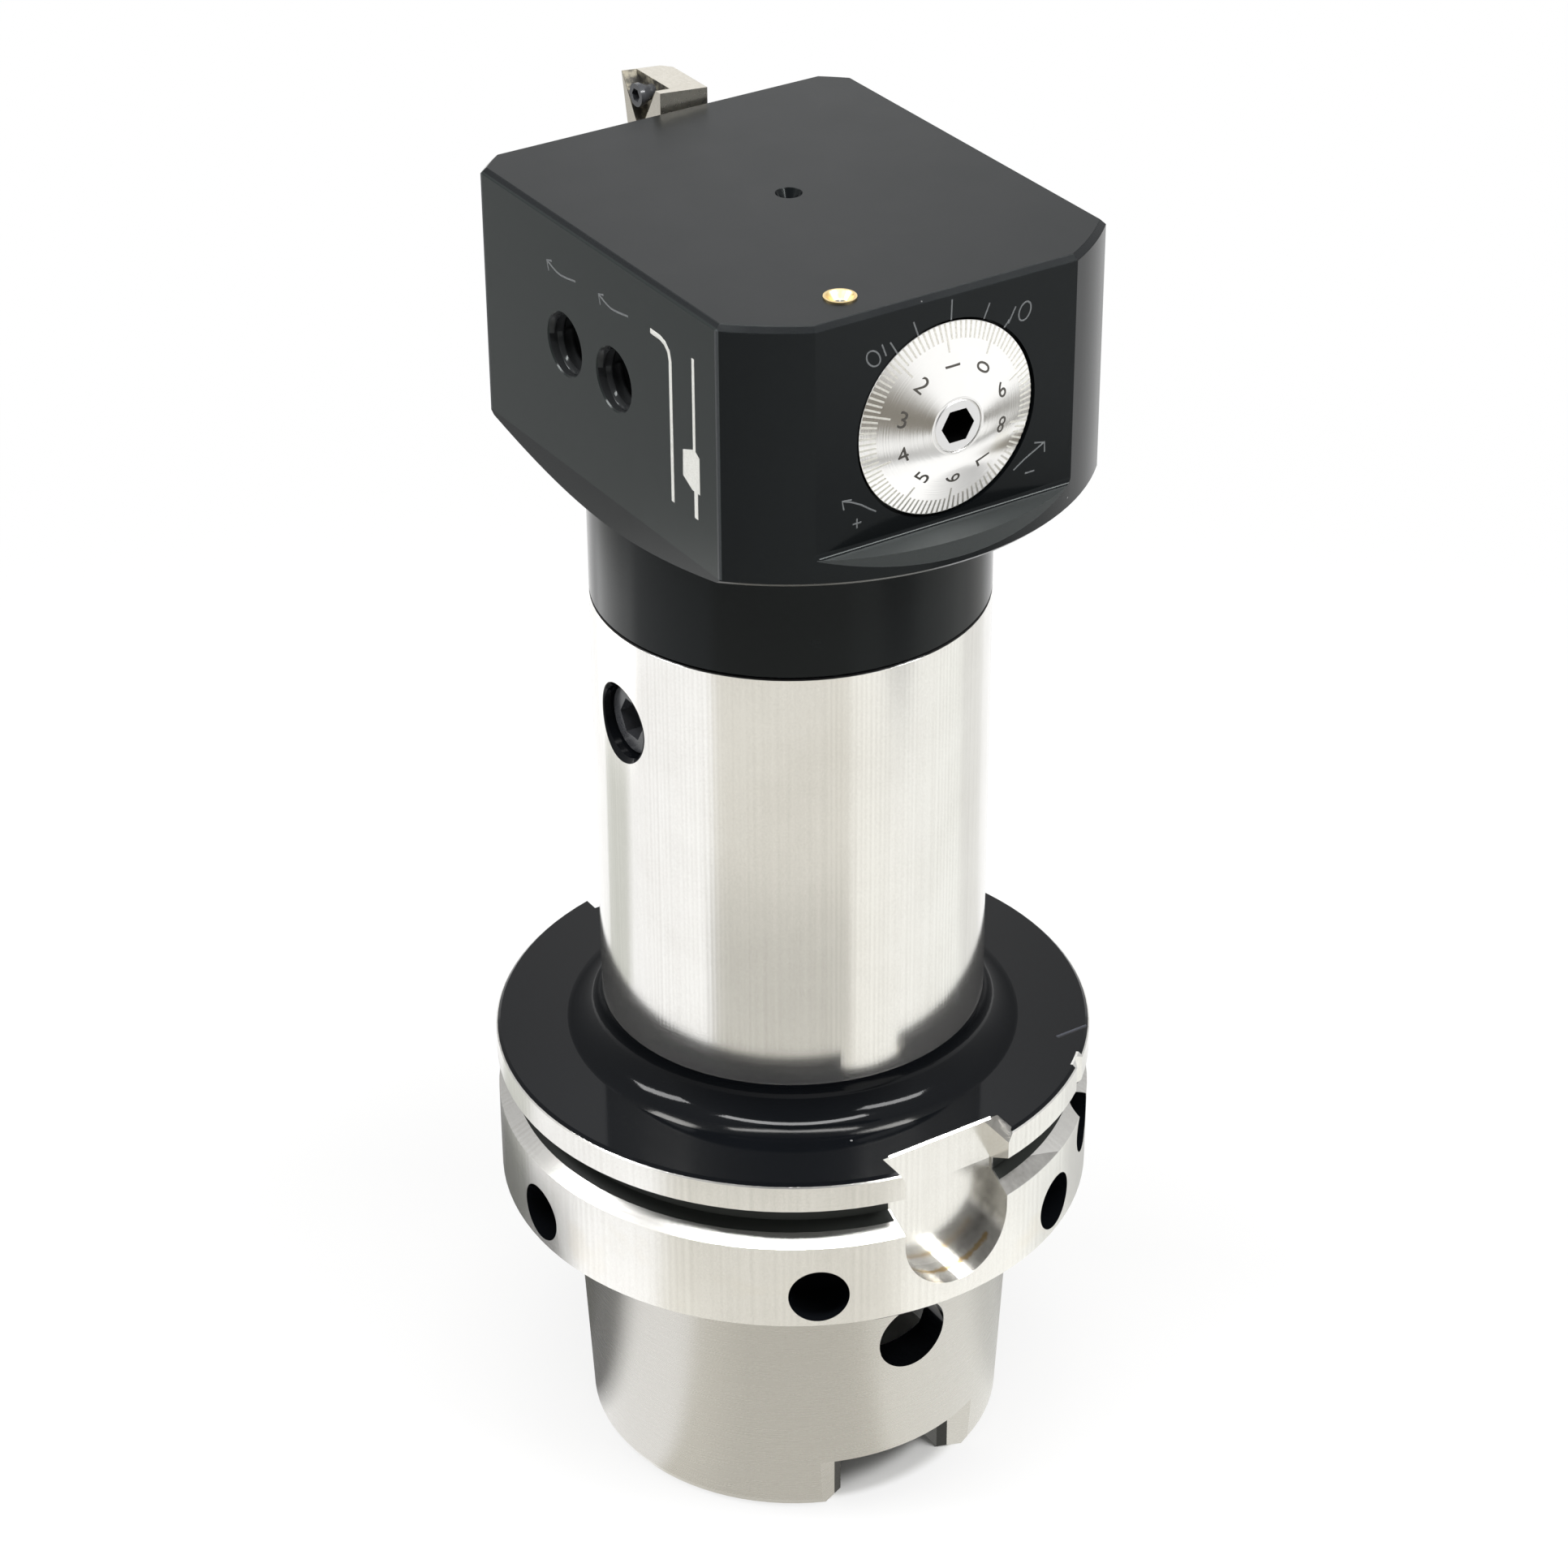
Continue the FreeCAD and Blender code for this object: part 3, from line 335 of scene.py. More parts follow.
def addSky():
    look = stageLook
    world = bpy.data.worlds.new("studioAir")
    bpy.context.scene.world = world
    world.use_nodes = True
    sky = Recipe(world.node_tree)
    x, y, _ = sky.axes(sky.node("ShaderNodeTexCoord", None, None, 0))
    around = bands(sky, toFront(sky, x, y), look["sky"])
    seen = sky.node("ShaderNodeLightPath", None, None, cameraRays)
    glossy = sky.node("ShaderNodeLightPath", None, None, glossyRays)
    plain = sky.mix(seen, (*[look["worldLight"]] * 3, 1), (1.0, 1.0, 1.0, 1))
    backdrop = sky.tree.nodes["Background"]
    sky.tree.links.new(sky.mix(glossy, plain, around).socket, backdrop.inputs["Color"])


def addLamps():
    look = stageLook
    for name, place, size, watts in look["lamps"]:
        bpy.ops.object.light_add(type="AREA", location=Vector(place) * mm)
        lamp = bpy.context.object
        lamp.name = name
        lamp.data.shape = "RECTANGLE"
        lamp.data.size = size
        lamp.data.size_y = look["lampWidth"]
        lamp.data.energy = watts
        aim = Vector(look["lampAim"]) * mm - lamp.location
        lamp.rotation_euler = aim.to_track_quat("-Z", "Y").to_euler()


def addStage():
    addFloor()
    addSky()
    addLamps()
    bpy.context.scene.view_settings.view_transform = "Standard"


addCamera()
addStage()
print("camera, floor and lamps are set")


coatLook = {
    "colour": (0.0032, 0.0037, 0.0044, 1),
    "specular": 0.17,
    "glossSpecular": 0.13,  # on the holder
}
steelLook = {
    "colour": (0.86, 0.85, 0.82, 1),
    "shade": (0.76, 0.745, 0.71, 1),
    "taper": ((0.6, 0.585, 0.55, 1), (0.52, 0.505, 0.475, 1)),  # the taper is ground duller
    # painted shade: the bore inside the hollow taper is coloured nearly black
    "inside": (0.045, 0.045, 0.043, 1),
    "seam": (0.02, 0.02, 0.02, 1),
    "stain": (0.78, 0.72, 0.6, 1),
    # painted shade and a painted dark reflection in the keyway
    "keywayShade": (0.13, 0.125, 0.11, 1),
    "rust": (0.36, 0.24, 0.08, 1),
    "coatDust": (0.2, 0.2, 0.2, 1),
    "coatCloud": (0.0042, 0.005, 0.0072, 1),
    "grooveCoat": (0.022, 0.024, 0.022, 1),
    "roughness": 0.2,
    "stripePitch": 1.45,  # degrees between the grinding marks
    "stripeDepth": 0.0016,
}
holderPlaces = {  # heights (z) and radii (reach) in mm where the holder's finish changes
    "flangeFace": {"z": (28.95, 35.75), "reach": 49.6},
    "flangeEdge": {"z": (28.52, 29.1), "reach": 49.3},
    "fillet": (29.1, 35.6),
    "column": 36.0,
    "seam": (110.86, 111.1),
    "groove": {"z": (16.3, 23.7), "reach": (45.3, 49.9), "lipZ": 18.6, "lipReach": 47.4},
    "notch": {"z": (23.6, 29.05), "reach": (48.9, 49.97), "angle": -140.6, "halfAngle": 2.3},
    "keyway": {"floor": 40.0, "halfWide": 10.3, "wider": 0.8, "roundZ": 14.0, "roundR": 10.0, "rim": 49.9},
    "roundHoles": [(90.0, 6.6), (152.0, 6.6), (-152.0, 6.6), (-135.0, 12.65)],  # angle, height
    "roundHoleR": 5.04,
    # painted shade: a black ring round the clamp screw, a little wider than its hole
    "clampMouth": {"z": 95.0, "r": 6.8, "oval": 1.12, "y": 15.0},
    "access": {"z": -16.1, "r": 6.54, "reach": 37.1, "top": -9.0},
    "cavity": {"reach": 33.0, "top": -8.9},
}


def steelSurface(finish, reach, turn):  # grain, blotches and grinding marks of ground steel
    look = steelLook
    blotch = finish.noise(finish.place, 0.07, 3.0, 0.6)
    grain = finish.noise(finish.place, 3.2, 2.0, 0.6)
    around = finish.vector(turn * 0.9, 0.0, finish.z * 0.012)
    streaks = finish.noise(around, 0.8, 3.0, 0.65)
    tone = (blotch - 0.5) * 1.2 + (grain - 0.5) * 1.3 + (streaks - 0.5) * 1.15 + 0.4
    patches = finish.noise(around, 0.12, 1.0, 0.5).rise(0.42, 0.6)
    marks = finish.wave(turn * (360 / look["stripePitch"] / degreesPerRadian)) * patches
    colour = finish.mix(tone + marks * 0.2, look["colour"], look["shade"])
    uneven = finish.noise(around, 2.4, 2.0, 0.6)
    lines = finish.noise(finish.vector(turn * 0.05, reach * 0.4, finish.z * 5.5), 1.0, 2.0, 0.6)
    return colour, grain, marks + uneven * 1.3, lines


def coatedPlaces(steel, reach, turn):  # the holder is black on its flange, in the groove and in its holes, and painted shade makes a black ring round the clamp screw
    x, y, z = steel.x, steel.y, steel.z
    face, edge, keyway = holderPlaces["flangeFace"], holderPlaces["flangeEdge"], holderPlaces["keyway"]
    top = steel.larger(z.within(*face["z"]) * (reach < face["reach"]), z.within(*edge["z"]) * (reach > edge["reach"]))
    inKeyway = (abs(x) > keyway["floor"]) * (abs(y) < (x > 0.0) * keyway["wider"] + keyway["halfWide"])
    groove = holderPlaces["groove"]
    lowLip = (z < groove["lipZ"]) * (reach > groove["lipReach"])
    inGroove = z.within(*groove["z"]) * reach.within(*groove["reach"]) * (1.0 - lowLip) * (1.0 - inKeyway)
    black = steel.larger(top, inGroove)
    for angle, high in holderPlaces["roundHoles"]:
        outX, outY = math.cos(math.radians(angle)), math.sin(math.radians(angle))
        off = steel.length(y * outX - x * outY, z - high)
        outside = (reach < 49.95) * (x * outX + y * outY > 30.0)
        black = steel.larger(black, (off < holderPlaces["roundHoleR"]) * outside)
    # painted shade of the gap round the clamp screw, in its mouth and a little past it
    mouth = holderPlaces["clampMouth"]
    off = steel.root(x * x * mouth["oval"] + (z - mouth["z"]) * (z - mouth["z"]))
    black = steel.larger(black, (off < mouth["r"]) * (y > mouth["y"]))
    access = holderPlaces["access"]
    off = steel.length(y, z - access["z"])
    black = steel.larger(black, (off < access["r"]) * (reach < access["reach"]) * (z < access["top"]))
    notch = holderPlaces["notch"]  # the V notch is bare metal
    inNotch = z.within(*notch["z"]) * reach.within(*notch["reach"])
    black = black * (1.0 - inNotch * (abs(turn - notch["angle"]) < notch["halfAngle"]))
    return black, inGroove


def dirtyKeyway(steel, reach, colour):  # painted shade and a painted dark reflection at the round end of the keyway, and rust along its bottom
    look, keyway = steelLook, holderPlaces["keyway"]
    x, y, z = steel.x, steel.y, steel.z
    fromEnd = steel.length(y, z - keyway["roundZ"])
    # painted dark reflection on the keyway's floor beside the round end
    onSide = fromEnd.rise(6.2, 9.4) * (0.0 - y).rise(1.0, 5.0)
    darkReflection = onSide * (x < -43.7) * (reach < keyway["rim"]) * z.within(4.0, 21.0)
    darkReflection = darkReflection * (steel.noise(steel.place, 0.45, 2.0, 0.6) * 0.5 + 0.25)
    # painted shade on the round end's wall below its centre, toning down its highlight
    onEnd = (abs(fromEnd - keyway["roundR"]) < 0.15) * (z < keyway["roundZ"]) * (abs(x) > 44.02)
    paintedShade = steel.larger(steel.smaller(darkReflection, 0.9), onEnd * (reach < keyway["rim"]) * 0.45)
    colour = steel.mix(paintedShade, colour, look["keywayShade"])
    line = abs(abs(x) - 46.4) + (steel.noise(steel.place, 0.9, 3.0, 0.7) - 0.5) * 2.2
    bottom = (abs(fromEnd - keyway["roundR"]) < 0.6) * (z < 8.0) * (abs(x) > 43.9)
    rust = (1.0 - line.rise(0.15, 0.75)) * bottom
    return steel.mix(rust * 0.8, colour, look["rust"])


def makeHolderSteel():
    look = steelLook
    steel = Finish("holderSteel", {"Metallic": 1.0, "Specular IOR Level": coatLook["glossSpecular"]})
    x, y, z = steel.x, steel.y, steel.z
    reach, turn = steel.length(x, y), steel.angle(y, x)
    colour, grain, marks, lines = steelSurface(steel, reach, turn)
    black, groove = coatedPlaces(steel, reach, turn)
    stain = steel.noise(steel.vector(x, y * 0.6, z), 0.09, 2.0, 0.6).rise(0.55, 0.8) * z.within(0.0, 16.0)
    colour = steel.mix(stain * 0.3, colour, look["stain"])
    colour = dirtyKeyway(steel, reach, colour)
    # painted shade: the bore inside the hollow taper gets the nearly black colour
    cavity = holderPlaces["cavity"]
    inside = (reach < cavity["reach"]) * (z < cavity["top"])
    colour = steel.mix((z < -0.2) * (1.0 - inside), colour, steel.mix(grain, *look["taper"]))
    colour = steel.mix(inside, colour, look["inside"])
    seam = z.within(*holderPlaces["seam"])
    colour = steel.mix(seam, colour, look["seam"])
    dust = (steel.spots(steel.place, 0.16) < 0.035) * (steel.noise(steel.place, 0.05, 1.0, 0.5) > 0.5)
    coat = steel.mix(dust, coatLook["colour"], look["coatDust"])
    cloudy = steel.noise(steel.place, 0.12, 3.0, 0.6)
    coat = steel.mix(cloudy * 0.3, coat, look["coatCloud"])
    coat = steel.mix(groove, coat, look["grooveCoat"])
    steel.feed("Base Color", steel.mix(black, colour, coat))
    steel.feed("Metallic", (1.0 - steel.larger(black, seam)) * 0.95)
    bare = lines * 0.1 + look["roughness"] - 0.05 + (z < 0.0) * 0.08 - (z > holderPlaces["column"]) * 0.055
    steel.feed("Roughness", bare * (1.0 - black) + (cloudy * 0.05 + 0.055 + groove * 0.25) * black)
    ticks = steel.noise(steel.vector(turn * 0.8, reach * 0.2, z * 0.2), 1.0, 2.0, 0.6) - 0.5
    ticks = ticks * z.within(*holderPlaces["fillet"]) * 3.0
    coarse = steel.bump(marks * (1.0 - black) + ticks, look["stripeDepth"] * mm)
    steel.feed("Normal", steel.bump(lines, look["stripeDepth"] * mm, 1.0, coarse))
    steel.wear(shown["holder_body"])


lockThreads = {"pitch": 1.5, "rootR": 4.94, "tipR": 4.4, "startY": 29.55, "turns": 2, "z": 157.1, "xs": (9.6, -4.9)}
headLook = {
    "cloud": (0.006, 0.0078, 0.008, 1),
    "worn": (0.05, 0.052, 0.056, 1),
    "side": (0.012, 0.015, 0.0145, 1),  # painted light: the flat with the locking screws is coloured a little lighter
    "dust": (0.16, 0.16, 0.16, 1),
    "ledge": ((0.026, 0.029, 0.029, 1), (0.037, 0.04, 0.04, 1)),
    "thread": (0.02, 0.021, 0.022, 1),
    "tint": (0.94, 1.0, 0.985, 1),
    "neckTop": 136.5,
    "flatY": 33.85,
    "ledgeX": -42.4,
    "ledgeZ": 140.0,
    "roofZ": 177.05,
}


def makeHeadBlack():
    look = headLook
    black = Finish("headBlack", {"Specular IOR Level": coatLook["specular"], "Specular Tint": look["tint"]})
    x, y, z = black.x, black.y, black.z
    reach = black.length(x, y)
    cloudy = black.noise(black.place, 0.1, 3.0, 0.6)
    grain = black.noise(black.place, 4.0, 2.0, 0.6)
    edge = z.within(176.35, 177.1) * (reach > 33.0)  # broken edge of the top face
    onFlats = black.larger(y > look["flatY"], y < -look["flatY"])
    corner = (reach > 47.85) * z.within(look["neckTop"], 176.5) * onFlats
    ledge = (z > (x - look["ledgeX"]) * 0.5 + look["ledgeZ"]) * (z < look["ledgeZ"] + 0.12) * (x < look["ledgeX"] - 0.1)
    roof = z > look["roofZ"]
    side = (y > look["flatY"] - 0.05) * (z > look["neckTop"])
    worn = black.smaller(black.larger(edge * 0.12, corner * 0.7) * (grain * 0.8 + 0.5), 1.0)
    colour = black.mix(cloudy * 0.4, coatLook["colour"], look["cloud"])
    # painted light on the flat with the locking screws
    colour = black.mix(side, colour, look["side"])
    colour = black.mix(worn, colour, look["worn"])
    dust = (black.spots(black.place, 0.13) < 0.03) * (black.noise(black.place, 0.06, 1.0, 0.5) > 0.56)
    colour = black.mix(dust, colour, look["dust"])
    colour = black.mix(ledge, colour, black.mix(grain, *look["ledge"]))
    for x0 in lockThreads["xs"]:  # bare threads catch more light
        off = black.length(x - x0, z - lockThreads["z"])
        colour = black.mix((off < 5.08) * y.within(18.0, 33.95), colour, look["thread"])
    black.feed("Base Color", colour)
    black.feed("Roughness", cloudy * 0.07 + grain * 0.04 + 0.1 + ledge * 0.4 + roof * 0.17)
    turned = black.noise(black.vector(0.0, reach * 0.3, z * 3.0), 1.0, 2.0, 0.5)
    black.feed("Normal", black.bump(turned * 0.5 + grain * 0.5, 0.0012 * mm))
    return black


metals = {  # finish: colour, darker colour, roughness, grain size, grain depth in mm
    "clampBlack": ((0.022, 0.023, 0.026), (0.055, 0.057, 0.062), 0.22, 2.2, 0.004),
    "carrierSteel": ((0.56, 0.55, 0.52), (0.42, 0.41, 0.39), 0.26, 2.4, 0.002),
    "spindleSteel": ((0.9, 0.9, 0.9), (0.9, 0.9, 0.9), 0.34, 4.0, 0.004),
    "bearingSteel": ((0.6, 0.6, 0.59), (0.45, 0.45, 0.44), 0.25, 2.0, 0.002),
    "brassGold": ((0.86, 0.69, 0.36), (0.78, 0.6, 0.3), 0.36, 2.4, 0.003),
    "ballSteel": ((0.75, 0.75, 0.75), (0.66, 0.66, 0.65), 0.12, 1.5, 0.001),
    "springSteel": ((0.5, 0.5, 0.5), (0.36, 0.36, 0.37), 0.3, 3.0, 0.003),
}


def makeMetal(name, metallic=1.0):
    colour, darker, roughness, grainSize, grainDepth = metals[name]
    metal = Finish(name, {"Metallic": metallic})
    grain = metal.noise(metal.place, grainSize, 3.0, 0.6)
    cloudy = metal.noise(metal.place, 0.25, 2.0, 0.5)
    metal.feed("Base Color", metal.mix(grain * 0.5 + cloudy * 0.5, (*colour, 1), (*darker, 1)))
    metal.feed("Roughness", grain * 0.12 + cloudy * 0.08 + roughness - 0.1)
    metal.feed("Normal", metal.bump(grain, grainDepth * mm))
    return metal


dialFace = {
    "axisZ": 156.9,
    "rimR": 15.2, "rimX": -42.1,
    "innerR": 4.5, "innerX": -45.2,
    "zeroAngle": -34.2,
    "digitR": 9.15, "digitSize": 3.7, "digitThick": 0.02, "digitLift": 0.035, "digitSquash": 0.93,
    "shortR": 12.7, "longR": 11.0, "tickWidth": 0.36, "tickNarrow": 0.8, "tickOver": 0.015, "tickUnder": 0.05,
    "divisions": 100,
    "silver": ((0.97, 0.965, 0.945, 1), (0.88, 0.87, 0.84, 1)),
    "stain": (0.72, 0.68, 0.52, 1),
    "stainAngle": -122.0, "stainR": 10.6,
    "roughness": 0.1,
    "spread": 0.14, "ringSpread": 0.16,  # the turned rings tilt the light in and out
    "lowTilt": 0.42, "lowFrom": (1.0, 9.0),  # the lowest graduations stay clear of the ledge's shade
}


def makeDialSilver():
    look = dialFace
    silver = Finish("dialSilver", {"Metallic": 1.0})
    high = silver.z - look["axisZ"]
    reach = silver.length(silver.y, high)
    turn = silver.angle(silver.y, high)
    rings = silver.noise(silver.vector(reach * 5.0, 0.0, 0.0), 1.0, 3.0, 0.7)
    cloudy = silver.noise(silver.place, 0.35, 3.0, 0.6)
    fromTurn, fromReach = turn - look["stainAngle"], reach - look["stainR"]
    stain = 1.0 - silver.root(fromTurn * fromTurn * 0.02 + fromReach * fromReach).rise(0.6, 2.6)
    colours = silver.mix(rings * 0.3 + cloudy * 0.5 - 0.1, *look["silver"])
    silver.feed("Base Color", silver.mix(stain * cloudy * 0.5, colours, look["stain"]))
    silver.feed("Roughness", rings * 0.08 + look["roughness"])
    spread = (rings - 0.5) * look["ringSpread"] + look["spread"]
    spread = spread - (0.0 - high).rise(*look["lowFrom"]) * look["lowTilt"]
    tilted = silver.vector(-1.0, silver.y / reach * spread, high / reach * spread)
    toWorld = {"vector_type": "VECTOR", "convert_from": "OBJECT", "convert_to": "WORLD"}
    world = silver.node("ShaderNodeVectorTransform", toWorld, [tilted])
    level = silver.node("ShaderNodeVectorMath", {"operation": "NORMALIZE"}, [world])
    plain = silver.node("ShaderNodeNewGeometry", None, None, 1)
    face = (reach < 15.1) * (reach > 4.55) * (silver.x < -42.0)
    silver.feed("Normal", silver.node("ShaderNodeMix", {"data_type": "VECTOR"}, {0: face, 4: plain, 5: level}, 1))
    return silver


nickelLook = {
    "plating": ((0.66, 0.63, 0.56, 1), (0.5, 0.47, 0.4, 1)),
    "pocketShade": ((0.24, 0.22, 0.17, 1), (0.035, 0.033, 0.028, 1)),  # painted shade in the empty pocket
    "pocketX": 44.7, "pocketTip": 171.45, "slope": 0.5774,
    "pocketY": (-3.3, -0.03),
    "grainDepth": 0.006,
}


def makeNickel():
    look = nickelLook
    nickel = Finish("nickelGrey")
    halfWide = (nickel.z - look["pocketTip"]) * look["slope"] + 0.2
    inPocket = (abs(nickel.x - look["pocketX"]) < halfWide) * nickel.y.within(*look["pocketY"])
    paintedShade = nickel.noise(nickel.place, 0.5, 3.0, 0.65)
    grain = nickel.noise(nickel.place, 1.6, 3.0, 0.6)
    plating = nickel.mix(grain * 0.8, *look["plating"])
    # painted shade: the empty pocket is coloured dark and mottled
    pocketShade = nickel.mix(paintedShade.rise(0.35, 0.62), *look["pocketShade"])
    nickel.feed("Base Color", nickel.mix(inPocket, plating, pocketShade))
    nickel.feed("Metallic", 1.0 - inPocket * 0.6)
    nickel.feed("Roughness", grain * 0.14 + inPocket * 0.25 + 0.22)
    nickel.feed("Normal", nickel.bump(grain, look["grainDepth"] * mm))
    return nickel


def makeSpindleSteel():
    spindle = makeMetal("spindleSteel")
    off = spindle.length(spindle.y, spindle.z - dialFace["axisZ"])
    socket = (off < 2.95) * (spindle.x > -45.12)  # painted shade inside the hexagon socket
    spindle.feed("Base Color", spindle.mix(socket, (0.9, 0.9, 0.9, 1), (0.03, 0.03, 0.03, 1)))
    return spindle


def makeRubber():
    rubber = Finish("sealRubber", {"Roughness": 0.6})
    grain = rubber.noise(rubber.place, 3.0, 3.0, 0.6)
    rubber.feed("Base Color", rubber.mix(grain, (0.012, 0.012, 0.013, 1), (0.03, 0.03, 0.031, 1)))
    rubber.feed("Normal", rubber.bump(grain, 0.01 * mm))
    return rubber


def makeInk(name, colour, darker, metallic=0.0, roughness=0.5):
    ink = Finish(name, {"Metallic": metallic})
    grain = ink.noise(ink.place, 5.0, 3.0, 0.7)
    ink.feed("Base Color", ink.mix(grain.rise(0.35, 0.75), (*colour, 1), (*darker, 1)))
    ink.feed("Roughness", grain * 0.2 + roughness - 0.1)
    return ink


makeHolderSteel()
headBlack = makeHeadBlack()
headBlack.wear(shown["head_body"])
makeMetal("clampBlack", 0.0).wear(
    shown["clamp_screw"], shown["lock_screw_1"], shown["lock_screw_2"], shown["holder_screw"],
    shown["guide_key"], shown["dial_grub_screws"], shown["insert_screw"])
makeMetal("carrierSteel").wear(shown["tool_carrier"], shown["drive_pin"], shown["locating_pin"])
makeMetal("bearingSteel").wear(shown["thrust_washer_inner"], shown["thrust_washer_outer"], shown["bearing_nut"])
makeMetal("brassGold").wear(shown["oiler_body"], shown["lock_pad_1"], shown["lock_pad_2"])
makeMetal("ballSteel").wear(shown["oiler_ball"])
springSteel = makeMetal("springSteel")
makeNickel().wear(shown["insert_holder"])
makeSpindleSteel().wear(shown["adjusting_spindle"])
makeDialSilver().wear(shown["scale_dial"])
makeRubber().wear(shown["spigot_o_ring"], shown["carrier_wiper"])
whiteInk = makeInk("whiteInk", (0.56, 0.56, 0.53), (0.44, 0.44, 0.41))
greyCut = makeInk("greyCut", (0.15, 0.158, 0.162), (0.07, 0.075, 0.08), 0.3, 0.45)
dialCut = makeInk("dialCut", (0.62, 0.61, 0.56), (0.42, 0.41, 0.37), 0.5, 0.4)
digitCut = makeInk("digitCut", (0.045, 0.041, 0.034), (0.03, 0.027, 0.023), 0.0, 0.6)
bluishCut = makeInk("bluishCut", (0.045, 0.05, 0.065), (0.02, 0.022, 0.03))
# painted shade for the engraved flange line
shadeLineInk = makeInk("shadeLineInk", (0.003, 0.003, 0.004), (0.006, 0.006, 0.008))
print("finishes are made")


sideMarks = {  # lines on the face with the locking screws: points (x, z)
    "face": 34.1,
    "raised": 0.02, "sunk": 0.01,  # the handle's faces over and under the flat
    "arrowWidth": 0.32, "keyWidth": 0.85, "driverWidth": 0.75, "tipWidth": 1.05,
    "arrow": [(0.0, 0.34), (-3.6, -0.6), (-8.5, 0.0)],
    "arrowEnds": [(14.16, 168.93), (-1.1, 169.15)],
    "keyLine": [(-15.9, 169.35), (-18.6, 169.3), (-19.9, 168.9), (-20.9, 168.0), (-21.3, 166.6), (-21.35, 143.9)],
    "driverTop": [(-27.6, 169.5), (-27.6, 154.0)],
    "driverTip": [(-27.9, 148.6), (-27.9, 143.9)],
    "handle": [(-24.45, 153.8), (-27.6, 155.0), (-29.0, 154.1), (-29.0, 148.2), (-26.9, 148.2), (-24.35, 149.6)],
}


def strokes(name, lines, width):  # round wires along rows of points
    bpy.ops.curve.primitive_bezier_curve_add()
    piece = bpy.context.object
    curve = piece.data
    curve.splines.clear()
    curve.bevel_depth = width / 2 * mm
    curve.bevel_resolution = 2
    curve.use_fill_caps = True
    for points in lines:
        spline = curve.splines.new("POLY")
        spline.points.add(len(points) - 1)
        for spot, point in zip(spline.points, points):
            spot.co = (*[c * mm for c in point], 1)
    activate(piece)
    piece.location = (0, 0, 0)
    bpy.ops.object.convert(target="MESH")
    piece = bpy.context.object
    piece.name = name
    return piece


def drawLines(name, lines, width, normal, finish):  # painted strokes on the head or holder, slightly raised
    flattened = 0.93  # share of the wire's height that is taken away
    piece = strokes(name, lines, width)
    middle = Vector(lines[0][0]) * mm
    for spot in piece.data.vertices:
        lift = (spot.co - middle).dot(normal)
        spot.co -= normal * lift * flattened
    finish.wear(piece)
    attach(piece, "holder_and_head")


def turnOutward(piece):
    activate(piece)
    bpy.ops.object.mode_set(mode="EDIT")
    bpy.ops.mesh.select_all(action="SELECT")
    bpy.ops.mesh.normals_make_consistent(inside=False)
    bpy.ops.object.mode_set(mode="OBJECT")


def smoothLine(points, steps=6):  # a round curve through a few points
    line = []
    ends = [points[0]] + points + [points[-1]]
    for k in range(1, len(ends) - 2):
        a, b, c, d = [Vector(p) for p in ends[k - 1:k + 3]]
        for s in range(steps):
            t = s / steps
            line.append(tuple(0.5 * ((2 * b) + (c - a) * t + (2 * a - 5 * b + 4 * c - d) * t * t
                                     + (3 * b - a - 3 * c + d) * t ** 3)))
    return line + [points[-1]]


def addSideMarks():
    look = sideMarks
    y = look["face"]
    outward = Vector((0, 1, 0))
    lines = []
    for headX, headZ in look["arrowEnds"]:
        bow = smoothLine([(headX + dx, headZ + dz, 0) for dx, dz in look["arrow"]])
        lines.append([(x, y, z) for x, z, _ in bow])
        lines.append([(headX - 1.5, y, headZ + 0.75), (headX, y, headZ + 0.34), (headX - 0.5, y, headZ - 1.2)])
    drawLines("sideArrows", lines, look["arrowWidth"], outward, greyCut)
    for name, row, width in (("keySign", "keyLine", "keyWidth"), ("driverSign", "driverTop", "driverWidth"),
                             ("driverTip", "driverTip", "tipWidth")):
        drawLines(name, [[(x, y, z) for x, z in look[row]]], look[width], outward, whiteInk)
    corners = look["handle"]
    bpy.ops.mesh.primitive_cylinder_add(vertices=len(corners))
    handle = bpy.context.object
    handle.name = "driverHandle"
    handle.location = (0, 0, 0)
    for k, spot in enumerate(handle.data.vertices):  # they come in pairs, one below and one above
        x, z = corners[k // 2]
        spot.co = (x * mm, (y + (look["raised"] if spot.co.z > 0 else -look["sunk"])) * mm, z * mm)
    turnOutward(handle)
    whiteInk.wear(handle)
    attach(handle, "holder_and_head")


def onDial(reach, angle, lift):  # a point over the cone, angle from the top towards +Y
    look = dialFace
    slope = (look["rimX"] - look["innerX"]) / (look["rimR"] - look["innerR"])
    x = look["innerX"] + max(0.0, reach - look["innerR"]) * slope - lift
    turn = math.radians(angle)
    return Vector((x, reach * math.sin(turn), look["axisZ"] + reach * math.cos(turn))) * mm


def addDigit(digit, size, thick):
    deselectAll()
    bpy.ops.object.text_add()
    piece = bpy.context.object
    piece.data.body = digit
    piece.data.size = size
    piece.data.align_x = "CENTER"
    piece.data.align_y = "CENTER"
    piece.data.extrude = thick
    piece.data.resolution_u = 4
    bpy.ops.object.convert(target="MESH")
    return bpy.context.object


def joinAs(name, pieces):
    deselectAll()
    for piece in pieces:
        piece.select_set(True)
    bpy.context.view_layer.objects.active = pieces[0]
    bpy.ops.object.join()
    joined = bpy.context.object
    joined.name = name
    return joined


